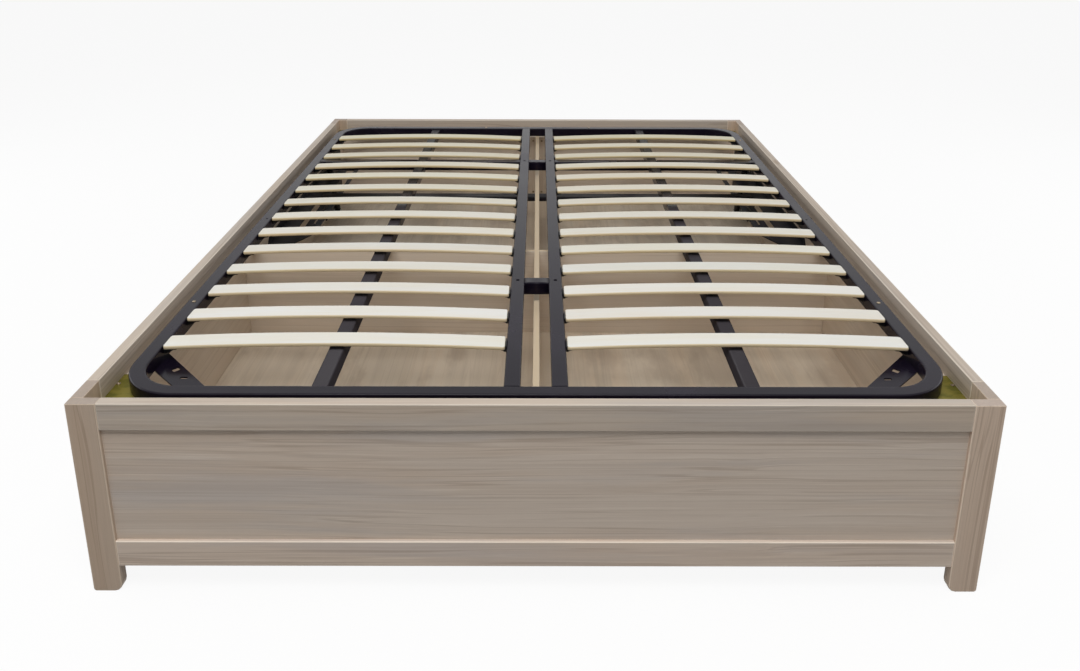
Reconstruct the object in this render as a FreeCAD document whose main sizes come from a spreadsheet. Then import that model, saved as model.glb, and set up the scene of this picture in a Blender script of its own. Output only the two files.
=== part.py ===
# Lift-up storage bed base: a pine box on four legs, a storage floor, and a steel slat platform
# that swings up on a hinge at the head end, held by one gas strut on each side.
# Frame: X to the right, Y towards the head, Z up. Origin under the middle, on the floor. Millimetres.
import FreeCAD, Part
import os
import re

import Sketcher
from FreeCAD import Rotation, Vector

doc = FreeCAD.newDocument("lift_up_bed_base")
sheet = doc.addObject("Spreadsheet::Sheet", "Sizes")

# Driving dimensions. Levels are heights above the ground, and "_at" is a distance from the middle.
SIZES = {
    # the box
    "bed_width": 1600,
    "bed_length": 2100,
    "bed_height": 382,
    "board_thick": 22,
    "end_stile": 52,
    "side_stile": 58,
    "top_rail": 51,
    "bottom_rail": 52,
    "leg_clear": 54,
    "panel_set": 7,
    "panel_thick": 12,
    "tongue": 8,
    "tenon_shoulder": 10,
    "leg_round": 14,
    "leg_round_outer": 5,
    "edge_ease": 1.5,
    # inside the box
    "liner_thick": 9,
    "liner_top": 338.7,
    "floor_top": 88,
    "floor_thick": 12,
    "batten_wide": 40,
    "divider_thick": 13,
    "divider_top": 322,
    "cross_thick": 11,
    "cross_y": -195,
    "cleat_size": 20,
    "plate_leg_foot": 150,
    "plate_leg_head": 56,
    "plate_tip": 9,
    "plate_thick": 3,
    # screws and holes
    "screw_head": 4,
    "screw_shank": 1.75,
    "screw_high": 1.6,
    "screw_long": 14,
    "plate_screw_near": 45,
    "plate_screw_far": 115,
    "plate_screw_foot": 60,
    "plate_screw_head": 30,
    "cleat_screw_low": 10,
    "cleat_screw_high": 15,
    "rim_screw_foot": -621,
    "rim_screw_head": 765,
    "head_screw_at": 197,
    "small_hole": 3,
    "small_hole_y": -91,
    "bolt_hole": 9,
    # the platform
    "tube": 30,
    "tube_wall": 1.5,
    "frame_top": 372,
    "frame_half": 754,
    "frame_foot": -1000,
    "frame_head": 965,
    "bend_round": 115,
    "beam_at": 43,
    "tie_foot": -502,
    "tie_head": 488,
    "underbar_at": 388,
    "underbar_drop": 4,
    "gusset_across": 155,
    "gusset_along": 168,
    "gusset_inner": 100,
    "gusset_thick": 3,
    "eyelet_across": 38,
    "eyelet_along": 105,
    "eyelet_reach": 10,
    "slot_across": 58,
    "slot_along": 70,
    "slot_long": 14,
    "slot_wide": 7,
    # the slats
    "slat_first": -809,
    "slat_pitch": 122.2,
    "slat_wide": 48,
    "slat_thick": 8,
    "slat_rise": 8,
    "slat_end_top": 376,
    "slat_inner": 61,
    "slat_outer": 721,
    "slat_ease": 3,
    "holder_reach": 26,
    "holder_wide": 34,
    "holder_base": 3,
    "holder_back": 2,
    "holder_drop": 2,
    # the lift: both strut pivots lie on one circle round the hinge, so the strut turns half as far
    "pivot_y": 940,
    "pivot_level": 328,
    "strut_reach": 300,
    "strut_spread": 48.4,
    "strut_at": 737,
    "strut_tube": 22,
    "strut_rod": 10,
    "strut_tube_end": 214,
    "piston_from_eye": 222,
    "piston_deep": 8,
    "cylinder_wall": 1.5,
    "seal_deep": 4,
    "blind_end": 6,
    "lower_eye": 12,
    "lower_eye_half": 9,
    "eye_neck": 1.5,
    "upper_eye": 9,
    "upper_eye_half": 8,
    "upper_neck": 6,
    "hinge_pin": 6,
    "strut_pin": 5,
    "rod_stud": 4,
    "pin_flange": 4,
    "pin_head": 3.5,
    "pin_gap": 0.5,
    "base_outer": 769,
    "base_thick": 3,
    "base_skirt": 30,
    "base_lip": 20,
    "base_tail": 20,
    "base_ear": 16,
    "ear_corner": 11,
    "ear_slope": 70,
    "base_screw_up": 10,
    "shelf_top": 263,
    "shelf_inner": 655,
    "shelf_nose": 45,
    "shelf_from": 0,
    "shelf_to": 800,
    "brace_y": 406,
    "brace_deep": 40,
    "brace_high": 15,
    "brace_lap": 50,
    "bar_lead": 80,
    "lug_lap": 4,
    "lug_half": 15,
    "lug_corner": 8,
    # gaps: a pin in its eye, and pieces that move past each other
    "run_gap": 0.05,
    "free_gap": 0.3,
}
SLAT_ROWS = 14
CROSS_BATTENS = 5

for line, (alias, value) in enumerate(SIZES.items(), start=1):
    sheet.set("A%d" % line, alias)
    sheet.set("B%d" % line, str(value))
    sheet.setAlias("B%d" % line, alias)
doc.recompute()

nodes = []


def formula(text):
    """Turns the names of sizes in a formula into references to the sheet's cells."""

    def cell(found):
        word = found.group()
        return "Sizes." + word if word in SIZES else word

    return re.sub(r"[a-z_]+", cell, str(text))


def value_of(text):
    """The number that a formula of sizes gives now, for a sketch's first guess."""
    return float(sheet.evalExpression(formula(text)))


def bind(thing, prop, text):
    thing.setExpression(prop, formula(text))


def place(thing, x="0", y="0", z="0"):
    bind(thing, "Placement.Base.x", x)
    bind(thing, "Placement.Base.y", y)
    bind(thing, "Placement.Base.z", z)
    return thing


def keep(thing, label):
    """Makes a finished object a node of its own name."""
    thing.Label = label
    nodes.append(thing)
    return thing


def block(name, x, y, z):
    """A box from pairs of formulas: where it starts and ends along each axis."""
    thing = doc.addObject("Part::Box", name)
    place(thing, x[0], y[0], z[0])
    bind(thing, "Length", "(%s) - (%s)" % (x[1], x[0]))
    bind(thing, "Width", "(%s) - (%s)" % (y[1], y[0]))
    bind(thing, "Height", "(%s) - (%s)" % (z[1], z[0]))
    return thing


def rod(name, axis, centre, radius, start, end):
    """A cylinder along one axis, from start to end, round a centre given in the other two axes."""
    thing = doc.addObject("Part::Cylinder", name)
    bind(thing, "Radius", radius)
    bind(thing, "Height", "(%s) - (%s)" % (end, start))
    if axis == "x":
        place(thing, start, centre[0], centre[1])
        thing.Placement.Rotation = Rotation(Vector(0, 1, 0), 90)
    elif axis == "y":
        place(thing, centre[0], start, centre[1])
        thing.Placement.Rotation = Rotation(Vector(1, 0, 0), -90)
    else:
        place(thing, centre[0], centre[1], start)
    return thing


def cut(name, base, *tools):
    tool = tools[0] if len(tools) == 1 else join(name + "_tools", *tools)
    thing = doc.addObject("Part::Cut", name)
    thing.Base = base
    thing.Tool = tool
    return thing


def join(name, *shapes):
    thing = doc.addObject("Part::MultiFuse", name)
    thing.Shapes = list(shapes)
    return thing


def group(name, *shapes):
    """Separate solids that share a node."""
    thing = doc.addObject("Part::Compound", name)
    thing.Links = list(shapes)
    return thing


def mirror(name, source, normal):
    thing = doc.addObject("Part::Mirroring", name)
    thing.Source = source
    thing.Base = Vector(0, 0, 0)
    thing.Normal = Vector(*normal)
    return thing


LEFT_RIGHT = (1, 0, 0)
FOOT_HEAD = (0, 1, 0)


def round_edges(name, base, radius, wanted):
    """Rounds the edges of base whose middle and direction satisfy wanted(middle, direction)."""
    doc.recompute()
    thing = doc.addObject("Part::Fillet", name)
    thing.Base = base
    size = value_of(radius)
    picked = []
    for index, edge in enumerate(base.Shape.Edges, start=1):
        ends = [v.Point for v in edge.Vertexes]
        if len(ends) == 2 and wanted((ends[0] + ends[1]) / 2, (ends[1] - ends[0]).normalize()):
            picked.append((index, size, size))
    thing.Edges = picked
    return thing


def sketch_on(body, name, plane, height="0"):
    """A sketch on one of the body's own origin planes, lifted along its normal."""
    sketch = body.newObject("Sketcher::SketchObject", name)
    origin = [f for f in body.Origin.OriginFeatures if f.Role == plane][0]
    sketch.AttachmentSupport = [(origin, "")]
    sketch.MapMode = "FlatFace"
    bind(sketch, "AttachmentOffset.Base.z", height)
    return sketch


def fix_point(sketch, geometry, end, point):
    """Holds one end of a sketch line or a circle's centre at a point given by two formulas."""
    for kind, text in zip(("DistanceX", "DistanceY"), point):
        number = value_of(text)
        index = sketch.addConstraint(Sketcher.Constraint(kind, -1, 1, geometry, end, number))
        if re.search(r"[a-z]", str(text)):
            bind(sketch, "Constraints[%d]" % index, text)


def outline(sketch, points):
    """A closed outline of straight lines through points given as pairs of formulas."""
    spots = [Vector(value_of(u), value_of(v), 0) for u, v in points]
    first = sketch.GeometryCount
    count = len(points)
    for i in range(count):
        sketch.addGeometry(Part.LineSegment(spots[i], spots[(i + 1) % count]), False)
    for i in range(count):
        joined = first + (i + 1) % count
        sketch.addConstraint(Sketcher.Constraint("Coincident", first + i, 2, joined, 1))
    for i, point in enumerate(points):
        fix_point(sketch, first + i, 1, point)


def rectangle(sketch, u, v):
    outline(sketch, [(u[0], v[0]), (u[1], v[0]), (u[1], v[1]), (u[0], v[1])])


def hole(sketch, centre, radius):
    spot = Vector(value_of(centre[0]), value_of(centre[1]), 0)
    index = sketch.addGeometry(Part.Circle(spot, Vector(0, 0, 1), value_of(radius)), False)
    fix_point(sketch, index, 3, centre)
    fixed = sketch.addConstraint(Sketcher.Constraint("Radius", index, value_of(radius)))
    if re.search(r"[a-z]", str(radius)):
        bind(sketch, "Constraints[%d]" % fixed, radius)


def new_body(name):
    return doc.addObject("PartDesign::Body", name)


def pad(body, name, sketch, length, both_ways=False, backwards=False):
    thing = body.newObject("PartDesign::Pad", name)
    thing.Profile = sketch
    bind(thing, "Length", length)
    thing.Midplane = both_ways
    thing.Reversed = backwards
    sketch.Visibility = False
    return thing


# ---- the box: four frame-and-panel walls ----

PANEL_IN = "panel_set"
PANEL_OUT = "panel_set + panel_thick"
RAIL_LOW = "leg_clear + bottom_rail"
RAIL_HIGH = "bed_height - top_rail"


def wall_block(name, wall, along, deep, high):
    """A box in a wall's own terms: along the wall, inward from its outer face, and upward."""
    if wall == "foot":
        return block(name, along, ["-bed_length / 2 + " + d for d in deep], high)
    return block(name, ["-bed_width / 2 + " + d for d in deep], along, high)


def along_wall(wall):
    """The test that an edge runs the length of a wall's rails."""
    return (lambda way: abs(way.x) > 0.9) if wall == "foot" else (lambda way: abs(way.y) > 0.9)


def rail(name, wall, half, high, groove, tenon):
    """A rail with eased long edges, a groove for the panel and a stub tenon at each end."""
    solid = wall_block(name + "_blank", wall, ("-(%s)" % half, half), ("0", "board_thick"), high)
    runs = along_wall(wall)
    eased = round_edges(name + "_eased", solid, "edge_ease", lambda middle, way: runs(way))
    reach = "(%s) + tongue" % half
    stub = wall_block(name + "_stub", wall, ("-(%s)" % reach, reach), (PANEL_IN, PANEL_OUT), tenon)
    slot = wall_block(name + "_slot", wall, ("-(%s)" % reach, reach), (PANEL_IN, PANEL_OUT), groove)
    return keep(cut(name, join(name + "_whole", eased, stub), slot), name)


def wall_frame(wall, prefix, half):
    """Both rails and the panel of one wall. Its stiles differ, and are made apart."""
    top = rail(
        prefix + "_top_rail",
        wall,
        half,
        (RAIL_HIGH, "bed_height"),
        (RAIL_HIGH, RAIL_HIGH + " + tongue"),
        (RAIL_HIGH + " + 2 * tongue", "bed_height - tenon_shoulder"),
    )
    low = rail(
        prefix + "_bottom_rail",
        wall,
        half,
        ("leg_clear", RAIL_LOW),
        (RAIL_LOW + " - tongue", RAIL_LOW),
        ("leg_clear + tenon_shoulder", RAIL_LOW + " - 2 * tongue"),
    )
    reach = "(%s) + tongue" % half
    high = (RAIL_LOW + " - tongue", RAIL_HIGH + " + tongue")
    panel = wall_block(prefix + "_panel", wall, ("-(%s)" % reach, reach), (PANEL_IN, PANEL_OUT), high)
    keep(panel, prefix + "_panel")
    return top, low, panel


def stile(name, wall, outer, inner, rounds):
    """A post half from the ground to the rim, grooved for panel and tenons, rounded at its foot."""
    solid = wall_block(name + "_blank", wall, (outer, inner), ("0", "board_thick"), ("0", "bed_height"))
    across = along_wall("side" if wall == "foot" else "foot")
    at = 0 if wall == "foot" else 1
    ends = [value_of(outer), value_of(inner)]
    step = solid
    for text, end, tag in zip(rounds, ends, ("a", "b")):
        step = round_edges(
            name + "_foot_" + tag,
            step,
            text,
            lambda middle, way: across(way) and middle.z < 0.1 and abs(middle[at] - end) < 0.1,
        )
    inward = "(%s) - tongue" % inner
    slot = wall_block(
        name + "_slot",
        wall,
        (inward, inner),
        (PANEL_IN, PANEL_OUT),
        ("leg_clear + tenon_shoulder", "bed_height - tenon_shoulder"),
    )
    return cut(name, step, slot)


end_half = "bed_width / 2 - end_stile"
side_end = "bed_length / 2 - board_thick"
side_half = "bed_length / 2 - board_thick - side_stile"

foot_left = stile(
    "foot_stile_left",
    "foot",
    "-bed_width / 2",
    "-bed_width / 2 + end_stile",
    ("leg_round_outer", "leg_round"),
)
keep(foot_left, "foot_stile_left")
keep(mirror("foot_stile_right", foot_left, LEFT_RIGHT), "foot_stile_right")
foot_pieces = wall_frame("foot", "foot", end_half)

head_left = keep(mirror("head_stile_left", foot_left, FOOT_HEAD), "head_stile_left")
keep(mirror("head_stile_right", head_left, LEFT_RIGHT), "head_stile_right")
for piece, tail in zip(foot_pieces, ("top_rail", "bottom_rail", "panel")):
    keep(mirror("head_" + tail, piece, FOOT_HEAD), "head_" + tail)

left_pieces = wall_frame("side", "left", side_half)
for piece, tail in zip(left_pieces, ("top_rail", "bottom_rail", "panel")):
    keep(mirror("right_" + tail, piece, LEFT_RIGHT), "right_" + tail)

side_post = stile(
    "side_post", "side", "-(%s)" % side_end, "-(%s)" % side_half, ("edge_ease", "leg_round")
)
side_post_right = mirror("side_post_right", side_post, LEFT_RIGHT)
side_posts = [side_post, side_post_right]
side_posts += [mirror(p.Name + "_head", p, FOOT_HEAD) for p in (side_post, side_post_right)]
keep(group("side_stiles", *side_posts), "side_stiles")

# ---- inside the box: liners, floor, dividers ----

wall_x = "bed_width / 2 - board_thick"
wall_y = "bed_length / 2 - board_thick"
inside_x = wall_x + " - liner_thick"
inside_y = wall_y + " - liner_thick"

liner_high = ("floor_top", "liner_top")
liner_left = block(
    "liner_left", ("-(%s)" % wall_x, "-(%s)" % inside_x), ("-(%s)" % wall_y, wall_y), liner_high
)
liner_foot = block(
    "liner_foot", ("-(%s)" % inside_x, inside_x), ("-(%s)" % wall_y, "-(%s)" % inside_y), liner_high
)
keep(
    group(
        "wall_liners",
        liner_left,
        mirror("liner_right", liner_left, LEFT_RIGHT),
        liner_foot,
        mirror("liner_head", liner_foot, FOOT_HEAD),
    ),
    "wall_liners",
)

floor_high = ("floor_top - floor_thick", "floor_top")
floor_left = block("floor_left", ("-(%s)" % wall_x, "0"), ("-(%s)" % wall_y, wall_y), floor_high)
keep(group("floor_panels", floor_left, mirror("floor_right", floor_left, LEFT_RIGHT)), "floor_panels")

batten_high = ("leg_clear", "floor_top - floor_thick")
batten_in = wall_x + " - batten_wide"
batten_left = block(
    "batten_left", ("-(%s)" % wall_x, "-(%s)" % batten_in), ("-(%s)" % wall_y, wall_y), batten_high
)
battens = [batten_left, mirror("batten_right", batten_left, LEFT_RIGHT)]
for i in range(CROSS_BATTENS):
    share = "%d / %d" % (i + 1, CROSS_BATTENS + 1)
    middle = "-bed_length / 2 + bed_length * " + share
    battens.append(
        block(
            "batten_across_%d" % (i + 1),
            ("-(%s)" % batten_in, batten_in),
            (middle + " - batten_wide / 2", middle + " + batten_wide / 2"),
            batten_high,
        )
    )
keep(group("floor_battens", *battens), "floor_battens")

divider_high = ("floor_top", "divider_top")
lap_level = "(floor_top + divider_top) / 2"
cross_span = ("cross_y - cross_thick / 2", "cross_y + cross_thick / 2")
centre_span = ("-divider_thick / 2", "divider_thick / 2")
brace_span = ("brace_y - brace_deep / 2", "brace_y + brace_deep / 2")
brace_levels = ("shelf_top", "shelf_top + brace_high")

centre_board = block("centre_board", centre_span, ("-(%s)" % inside_y, inside_y), divider_high)
centre_lap = block("centre_lap", centre_span, cross_span, (lap_level, "divider_top"))
brace_window = block(
    "brace_window",
    centre_span,
    (brace_span[0] + " - 1", brace_span[1] + " + 1"),
    (brace_levels[0] + " - 1", brace_levels[1] + " + 1"),
)
keep(cut("centre_divider", centre_board, centre_lap, brace_window), "centre_divider")

cross_board = block("cross_board", ("-(%s)" % inside_x, inside_x), cross_span, divider_high)
cross_lap = block("cross_lap", centre_span, cross_span, ("floor_top", lap_level))
keep(cut("cross_divider", cross_board, cross_lap), "cross_divider")

cleat = block(
    "cleat",
    ("-divider_thick / 2 - cleat_size", "-divider_thick / 2"),
    (inside_y + " - cleat_size", inside_y),
    divider_high,
)
cleat_right = mirror("cleat_right", cleat, LEFT_RIGHT)
cleats = [cleat, cleat_right] + [mirror(c.Name + "_foot", c, FOOT_HEAD) for c in (cleat, cleat_right)]
keep(group("divider_cleats", *cleats), "divider_cleats")


def corner_plate(name, leg, end):
    """A flat triangle lying on the liners in the corner, its right angle at the walls."""
    body = new_body(name)
    corner = ("-(%s)" % wall_x, "%s(%s)" % (end, wall_y))
    inward = "-" if end == "+" else "+"
    sketch = sketch_on(body, name + "_outline", "XY_Plane", "liner_top")
    outline(
        sketch,
        [
            corner,
            (corner[0] + " + " + leg, corner[1]),
            (corner[0] + " + plate_tip", corner[1] + " %s %s" % (inward, leg)),
            (corner[0], corner[1] + " %s %s" % (inward, leg)),
        ],
    )
    pad(body, name + "_pad", sketch, "plate_thick")
    return body


plate_foot = corner_plate("plate_foot", "plate_leg_foot", "-")
plate_head = corner_plate("plate_head", "plate_leg_head", "+")
keep(
    group(
        "corner_plates",
        plate_foot,
        plate_head,
        mirror("plate_foot_right", plate_foot, LEFT_RIGHT),
        mirror("plate_head_right", plate_head, LEFT_RIGHT),
    ),
    "corner_plates",
)


def screw(name, axis, centre, level, out):
    """A round-headed screw: its head stands out from level by its height, its shank goes in."""
    forward, back = ("+", "-") if out > 0 else ("-", "+")
    head_ends = sorted([level, "%s %s screw_high" % (level, forward)], key=value_of)
    shank_ends = sorted([level, "%s %s screw_long" % (level, back)], key=value_of)
    head = rod(name + "_head", axis, centre, "screw_head", *head_ends)
    shank = rod(name + "_shank", axis, centre, "screw_shank", *shank_ends)
    return join(name, head, shank)


plate_top = "liner_top + plate_thick"
side_liner_middle = "-(%s + liner_thick / 2)" % inside_x
foot_liner_middle = "-(%s + liner_thick / 2)" % inside_y
plate_spots = [
    (side_liner_middle, "-(%s) + plate_screw_near" % wall_y),
    (side_liner_middle, "-(%s) + plate_screw_far" % wall_y),
    ("-(%s) + plate_screw_foot" % wall_x, foot_liner_middle),
    (side_liner_middle, wall_y + " - plate_screw_head"),
]
screws = [screw("plate_screw_%d" % i, "z", spot, plate_top, 1) for i, spot in enumerate(plate_spots)]

cleat_middle = "-divider_thick / 2 - cleat_size / 2"
cleat_face = inside_y + " - cleat_size"
for i, height in enumerate(("floor_top + cleat_screw_low", "divider_top - cleat_screw_high")):
    screws.append(screw("cleat_screw_%d" % i, "y", (cleat_middle, height), cleat_face, -1))

base_face = "base_outer - base_thick"
BASE_SCREWS = ("shelf_from + 60", "shelf_from + 315", "shelf_to - 342", "shelf_to - 100")
for i, along in enumerate(BASE_SCREWS):
    spot = (along, "shelf_top + base_screw_up")
    screws.append(screw("base_screw_%d" % i, "x", spot, "-(%s)" % base_face, 1))
screws += [mirror(s.Name + "_right", s, LEFT_RIGHT) for s in list(screws)]
keep(group("box_screws", *screws), "box_screws")

# ---- the platform: a welded rim of square tube, with beams and bars inside it ----

frame_low = "frame_top - tube"
rim_levels = (frame_low, "frame_top")
rim_in = "frame_half - tube"


def tube_section(sketch, u, v):
    """A square tube's wall: an outer square and an inner one."""
    rectangle(sketch, u, v)
    rectangle(
        sketch,
        (u[0] + " + tube_wall", u[1] + " - tube_wall"),
        (v[0] + " + tube_wall", v[1] + " - tube_wall"),
    )


def tube_along_y(name, x, levels, y):
    """A tube towards the head. The XZ plane's normal points to the foot, so the pad is reversed."""
    body = new_body(name)
    sketch = sketch_on(body, name + "_section", "XZ_Plane", "-(%s)" % y[0])
    tube_section(sketch, x, levels)
    pad(body, name + "_pad", sketch, "(%s) - (%s)" % (y[1], y[0]), backwards=True)
    return body


def tube_along_x(name, y, levels, x):
    body = new_body(name)
    sketch = sketch_on(body, name + "_section", "YZ_Plane", x[0])
    tube_section(sketch, y, levels)
    pad(body, name + "_pad", sketch, "(%s) - (%s)" % (x[1], x[0]))
    return body


def drilled(name, base, spots, radius, high):
    """Upright holes through a tube's top wall at the given spots."""
    drills = [rod("%s_drill_%d" % (name, i), "z", spot, radius, *high) for i, spot in enumerate(spots)]
    return cut(name, base, *drills)


side_from = "frame_foot + bend_round"
side_to = "frame_head - bend_round"
top_wall = ("frame_top - 2 * tube_wall", "frame_top + tube_wall")
side_x = ("-frame_half", "-(%s)" % rim_in)
side_plain = tube_along_y("side_plain", side_x, rim_levels, (side_from, side_to))
side_hole = ("-frame_half + tube * 0.6", "small_hole_y")
side_left = drilled("side_tube_left", side_plain, [side_hole], "small_hole", top_wall)
keep(side_left, "side_tube_left")
keep(mirror("side_tube_right", side_left, LEFT_RIGHT), "side_tube_right")

cross_half = "frame_half - bend_round"
cross_x = ("-(%s)" % cross_half, cross_half)
keep(tube_along_x("foot_tube", ("frame_foot", "frame_foot + tube"), rim_levels, cross_x), "foot_tube")
keep(tube_along_x("head_tube", ("frame_head - tube", "frame_head"), rim_levels, cross_x), "head_tube")


def bend(name, x, y, turn):
    """A quarter turn of the rim's tube, revolved round an upright axis and set at its corner."""
    body = new_body(name)
    sketch = sketch_on(body, name + "_section", "XZ_Plane")
    tube_section(sketch, ("bend_round - tube", "bend_round"), rim_levels)
    turned = body.newObject("PartDesign::Revolution", name + "_turn")
    turned.Profile = sketch
    turned.ReferenceAxis = ([f for f in body.Origin.OriginFeatures if f.Role == "Z_Axis"][0], [""])
    turned.Angle = 90
    sketch.Visibility = False
    body.Placement.Rotation = Rotation(Vector(0, 0, 1), turn)
    return place(body, x, y)


bends = [
    bend("bend_foot_left", "-(%s)" % cross_half, side_from, 180),
    bend("bend_foot_right", cross_half, side_from, 270),
    bend("bend_head_right", cross_half, side_to, 0),
    bend("bend_head_left", "-(%s)" % cross_half, side_to, 90),
]
keep(group("corner_bends", *bends), "corner_bends")

rim_foot = "frame_foot + tube"
rim_head = "frame_head - tube"
beam_x = ("-beam_at - tube / 2", "-beam_at + tube / 2")
beam_plain = tube_along_y("beam_plain", beam_x, rim_levels, (rim_foot, rim_head))
beam_left = drilled(
    "beam_left", beam_plain, [("-beam_at", "tie_foot"), ("-beam_at", "tie_head")], "bolt_hole / 2", top_wall
)
keep(group("centre_beams", beam_left, mirror("beam_right", beam_left, LEFT_RIGHT)), "centre_beams")

# the foot tie joins the beams only, and the head one goes on past the bearers to the side tubes
tie_x = ("-beam_at + tube / 2", "beam_at - tube / 2")
near_x = ("-underbar_at + tube / 2", "-beam_at - tube / 2")
far_x = ("-(%s)" % rim_in, "-underbar_at - tube / 2")
foot_y = ("tie_foot - tube / 2", "tie_foot + tube / 2")
head_y = ("tie_head - tube / 2", "tie_head + tube / 2")
crossbars = [
    tube_along_x("crossbar_near", head_y, rim_levels, near_x),
    tube_along_x("crossbar_far", head_y, rim_levels, far_x),
]
ties = [
    tube_along_x("foot_tie", foot_y, rim_levels, tie_x),
    tube_along_x("head_tie", head_y, rim_levels, tie_x),
]
ties += crossbars + [mirror(c.Name + "_right", c, LEFT_RIGHT) for c in crossbars]
keep(group("beam_ties", *ties), "beam_ties")

underbar_levels = (frame_low + " - underbar_drop", "frame_top - underbar_drop")
underbar_x = ("-underbar_at - tube / 2", "-underbar_at + tube / 2")
underbar = tube_along_y("underbar_left", underbar_x, underbar_levels, (rim_foot, rim_head))
keep(group("slat_bearers", underbar, mirror("underbar_right", underbar, LEFT_RIGHT)), "slat_bearers")


def gusset():
    """A flat band across a foot corner, with a square hole on its point and a slot."""
    body = new_body("gusset_left")
    sketch = sketch_on(body, "gusset_outline", "XY_Plane", frame_low)

    def spot(across, along):
        return "-(%s) + %s" % (rim_in, across), "%s + %s" % (rim_foot, along)

    band = [("gusset_inner", "0"), ("gusset_across", "0"), ("0", "gusset_along"), ("0", "gusset_inner")]
    outline(sketch, [spot(*point) for point in band])
    eyelet = [
        spot("eyelet_across - eyelet_reach", "eyelet_along"),
        spot("eyelet_across", "eyelet_along - eyelet_reach"),
        spot("eyelet_across + eyelet_reach", "eyelet_along"),
        spot("eyelet_across", "eyelet_along + eyelet_reach"),
    ]
    outline(sketch, eyelet)
    near = spot("slot_across", "slot_along")
    far = spot("slot_across + slot_long", "slot_along + slot_wide")
    rectangle(sketch, (near[0], far[0]), (near[1], far[1]))
    pad(body, "gusset_pad", sketch, "gusset_thick")
    return body


gusset_left = gusset()
keep(group("corner_gussets", gusset_left, mirror("gusset_right", gusset_left, LEFT_RIGHT)), "corner_gussets")

# ---- the slats and their holders ----

RISE_RADIUS = "(((slat_outer - slat_inner) / 2) ^ 2 + slat_rise ^ 2) / (2 * slat_rise)"


def arc_line(sketch, x, level, number):
    """An arc that rises by slat_rise between two ends at one level."""
    start = Vector(value_of(x[0]), value_of(level), 0)
    end = Vector(value_of(x[1]), value_of(level), 0)
    crown = (start + end) / 2 + Vector(0, value_of("slat_rise"), 0)
    index = sketch.addGeometry(Part.Arc(start, crown, end), False)
    sketch.addConstraint(Sketcher.Constraint("Radius", index, value_of(RISE_RADIUS)))
    bind(sketch, "Constraints[%d]" % number, RISE_RADIUS)
    return index


def slat(row):
    """One bowed slat: two equal arcs a thickness apart, drawn out across the row, long edges rounded."""
    name = "slat_%02d" % (row + 1)
    body = new_body(name + "_left")
    sketch = sketch_on(body, name + "_side", "XZ_Plane")
    span = ("-slat_outer", "-slat_inner")
    low = "slat_end_top - slat_thick"
    top = arc_line(sketch, span, "slat_end_top", 0)
    under = arc_line(sketch, span, low, 1)
    ends = []
    for x in span:
        line = Part.LineSegment(
            Vector(value_of(x), value_of(low), 0), Vector(value_of(x), value_of("slat_end_top"), 0)
        )
        ends.append(sketch.addGeometry(line, False))
        fix_point(sketch, ends[-1], 1, (x, low))
        fix_point(sketch, ends[-1], 2, (x, "slat_end_top"))
    # an arc runs against the clock, so its own start is at the right
    for arc, end_of_line in ((top, 2), (under, 1)):
        sketch.addConstraint(Sketcher.Constraint("Coincident", arc, 2, ends[0], end_of_line))
        sketch.addConstraint(Sketcher.Constraint("Coincident", arc, 1, ends[1], end_of_line))
    pad(body, name + "_pad", sketch, "slat_wide", both_ways=True)
    place(body, y="slat_first + slat_pitch * %d" % row)
    eased = round_edges(name + "_eased", body, "slat_ease", lambda middle, way: abs(way.x) > 0.9)
    pair = "slat_pair_%02d" % (row + 1)
    keep(group(pair, eased, mirror(name + "_right", eased, LEFT_RIGHT)), pair)


for slat_row in range(SLAT_ROWS):
    slat(slat_row)


def holder(name, against, inward):
    """A cap under a slat's end: a shelf below it and a back plate against the tube."""
    body = new_body(name)
    sketch = sketch_on(body, name + "_side", "XZ_Plane")
    low = "slat_end_top - slat_thick - holder_base"
    shelf_top = "slat_end_top - slat_thick"
    back = "%s %s holder_back" % (against, inward)
    outline(
        sketch,
        [
            (against, low),
            ("%s %s holder_reach" % (against, inward), low),
            ("%s %s holder_reach" % (against, inward), shelf_top),
            (back, shelf_top),
            (back, "slat_end_top - holder_drop"),
            (against, "slat_end_top - holder_drop"),
        ],
    )
    pad(body, name + "_pad", sketch, "holder_wide", both_ways=True)
    return place(body, y="slat_first")


def holder_column(name, against, inward):
    """One holder for every row, drawn from the first at the slats' pitch."""
    first = holder(name + "_first", against, inward)
    doc.recompute()
    pitch = value_of("slat_pitch")
    shapes = [first.Shape.translated(Vector(0, pitch * row, 0)) for row in range(SLAT_ROWS)]
    column = doc.addObject("Part::Feature", name)
    column.Shape = Part.Compound(shapes)
    return column


holder_columns = [
    holder_column("holders_outer", "-(%s)" % rim_in, "+"),
    holder_column("holders_inner", "-beam_at - tube / 2", "-"),
]
holder_columns += [mirror(c.Name + "_right", c, LEFT_RIGHT) for c in list(holder_columns)]
keep(group("slat_holders", *holder_columns), "slat_holders")

# ---- the lift: base plates, brace, struts and the top bars they push ----

lower_y = "pivot_y - strut_reach * cos(strut_spread * 1deg)"
lower_level = "pivot_level - strut_reach * sin(strut_spread * 1deg)"
upper_y = "pivot_y - strut_reach"
# slots of the shelf: outward from its inner edge, then along it
SHELF_SLOTS = (
    (("44", "62"), ("shelf_from + 120", "shelf_to - 440")),
    (("19", "26"), ("shelf_from + 170", "shelf_to - 440")),
    (("14", "40"), ("shelf_to - 340", "shelf_to - 60")),
)


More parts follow.
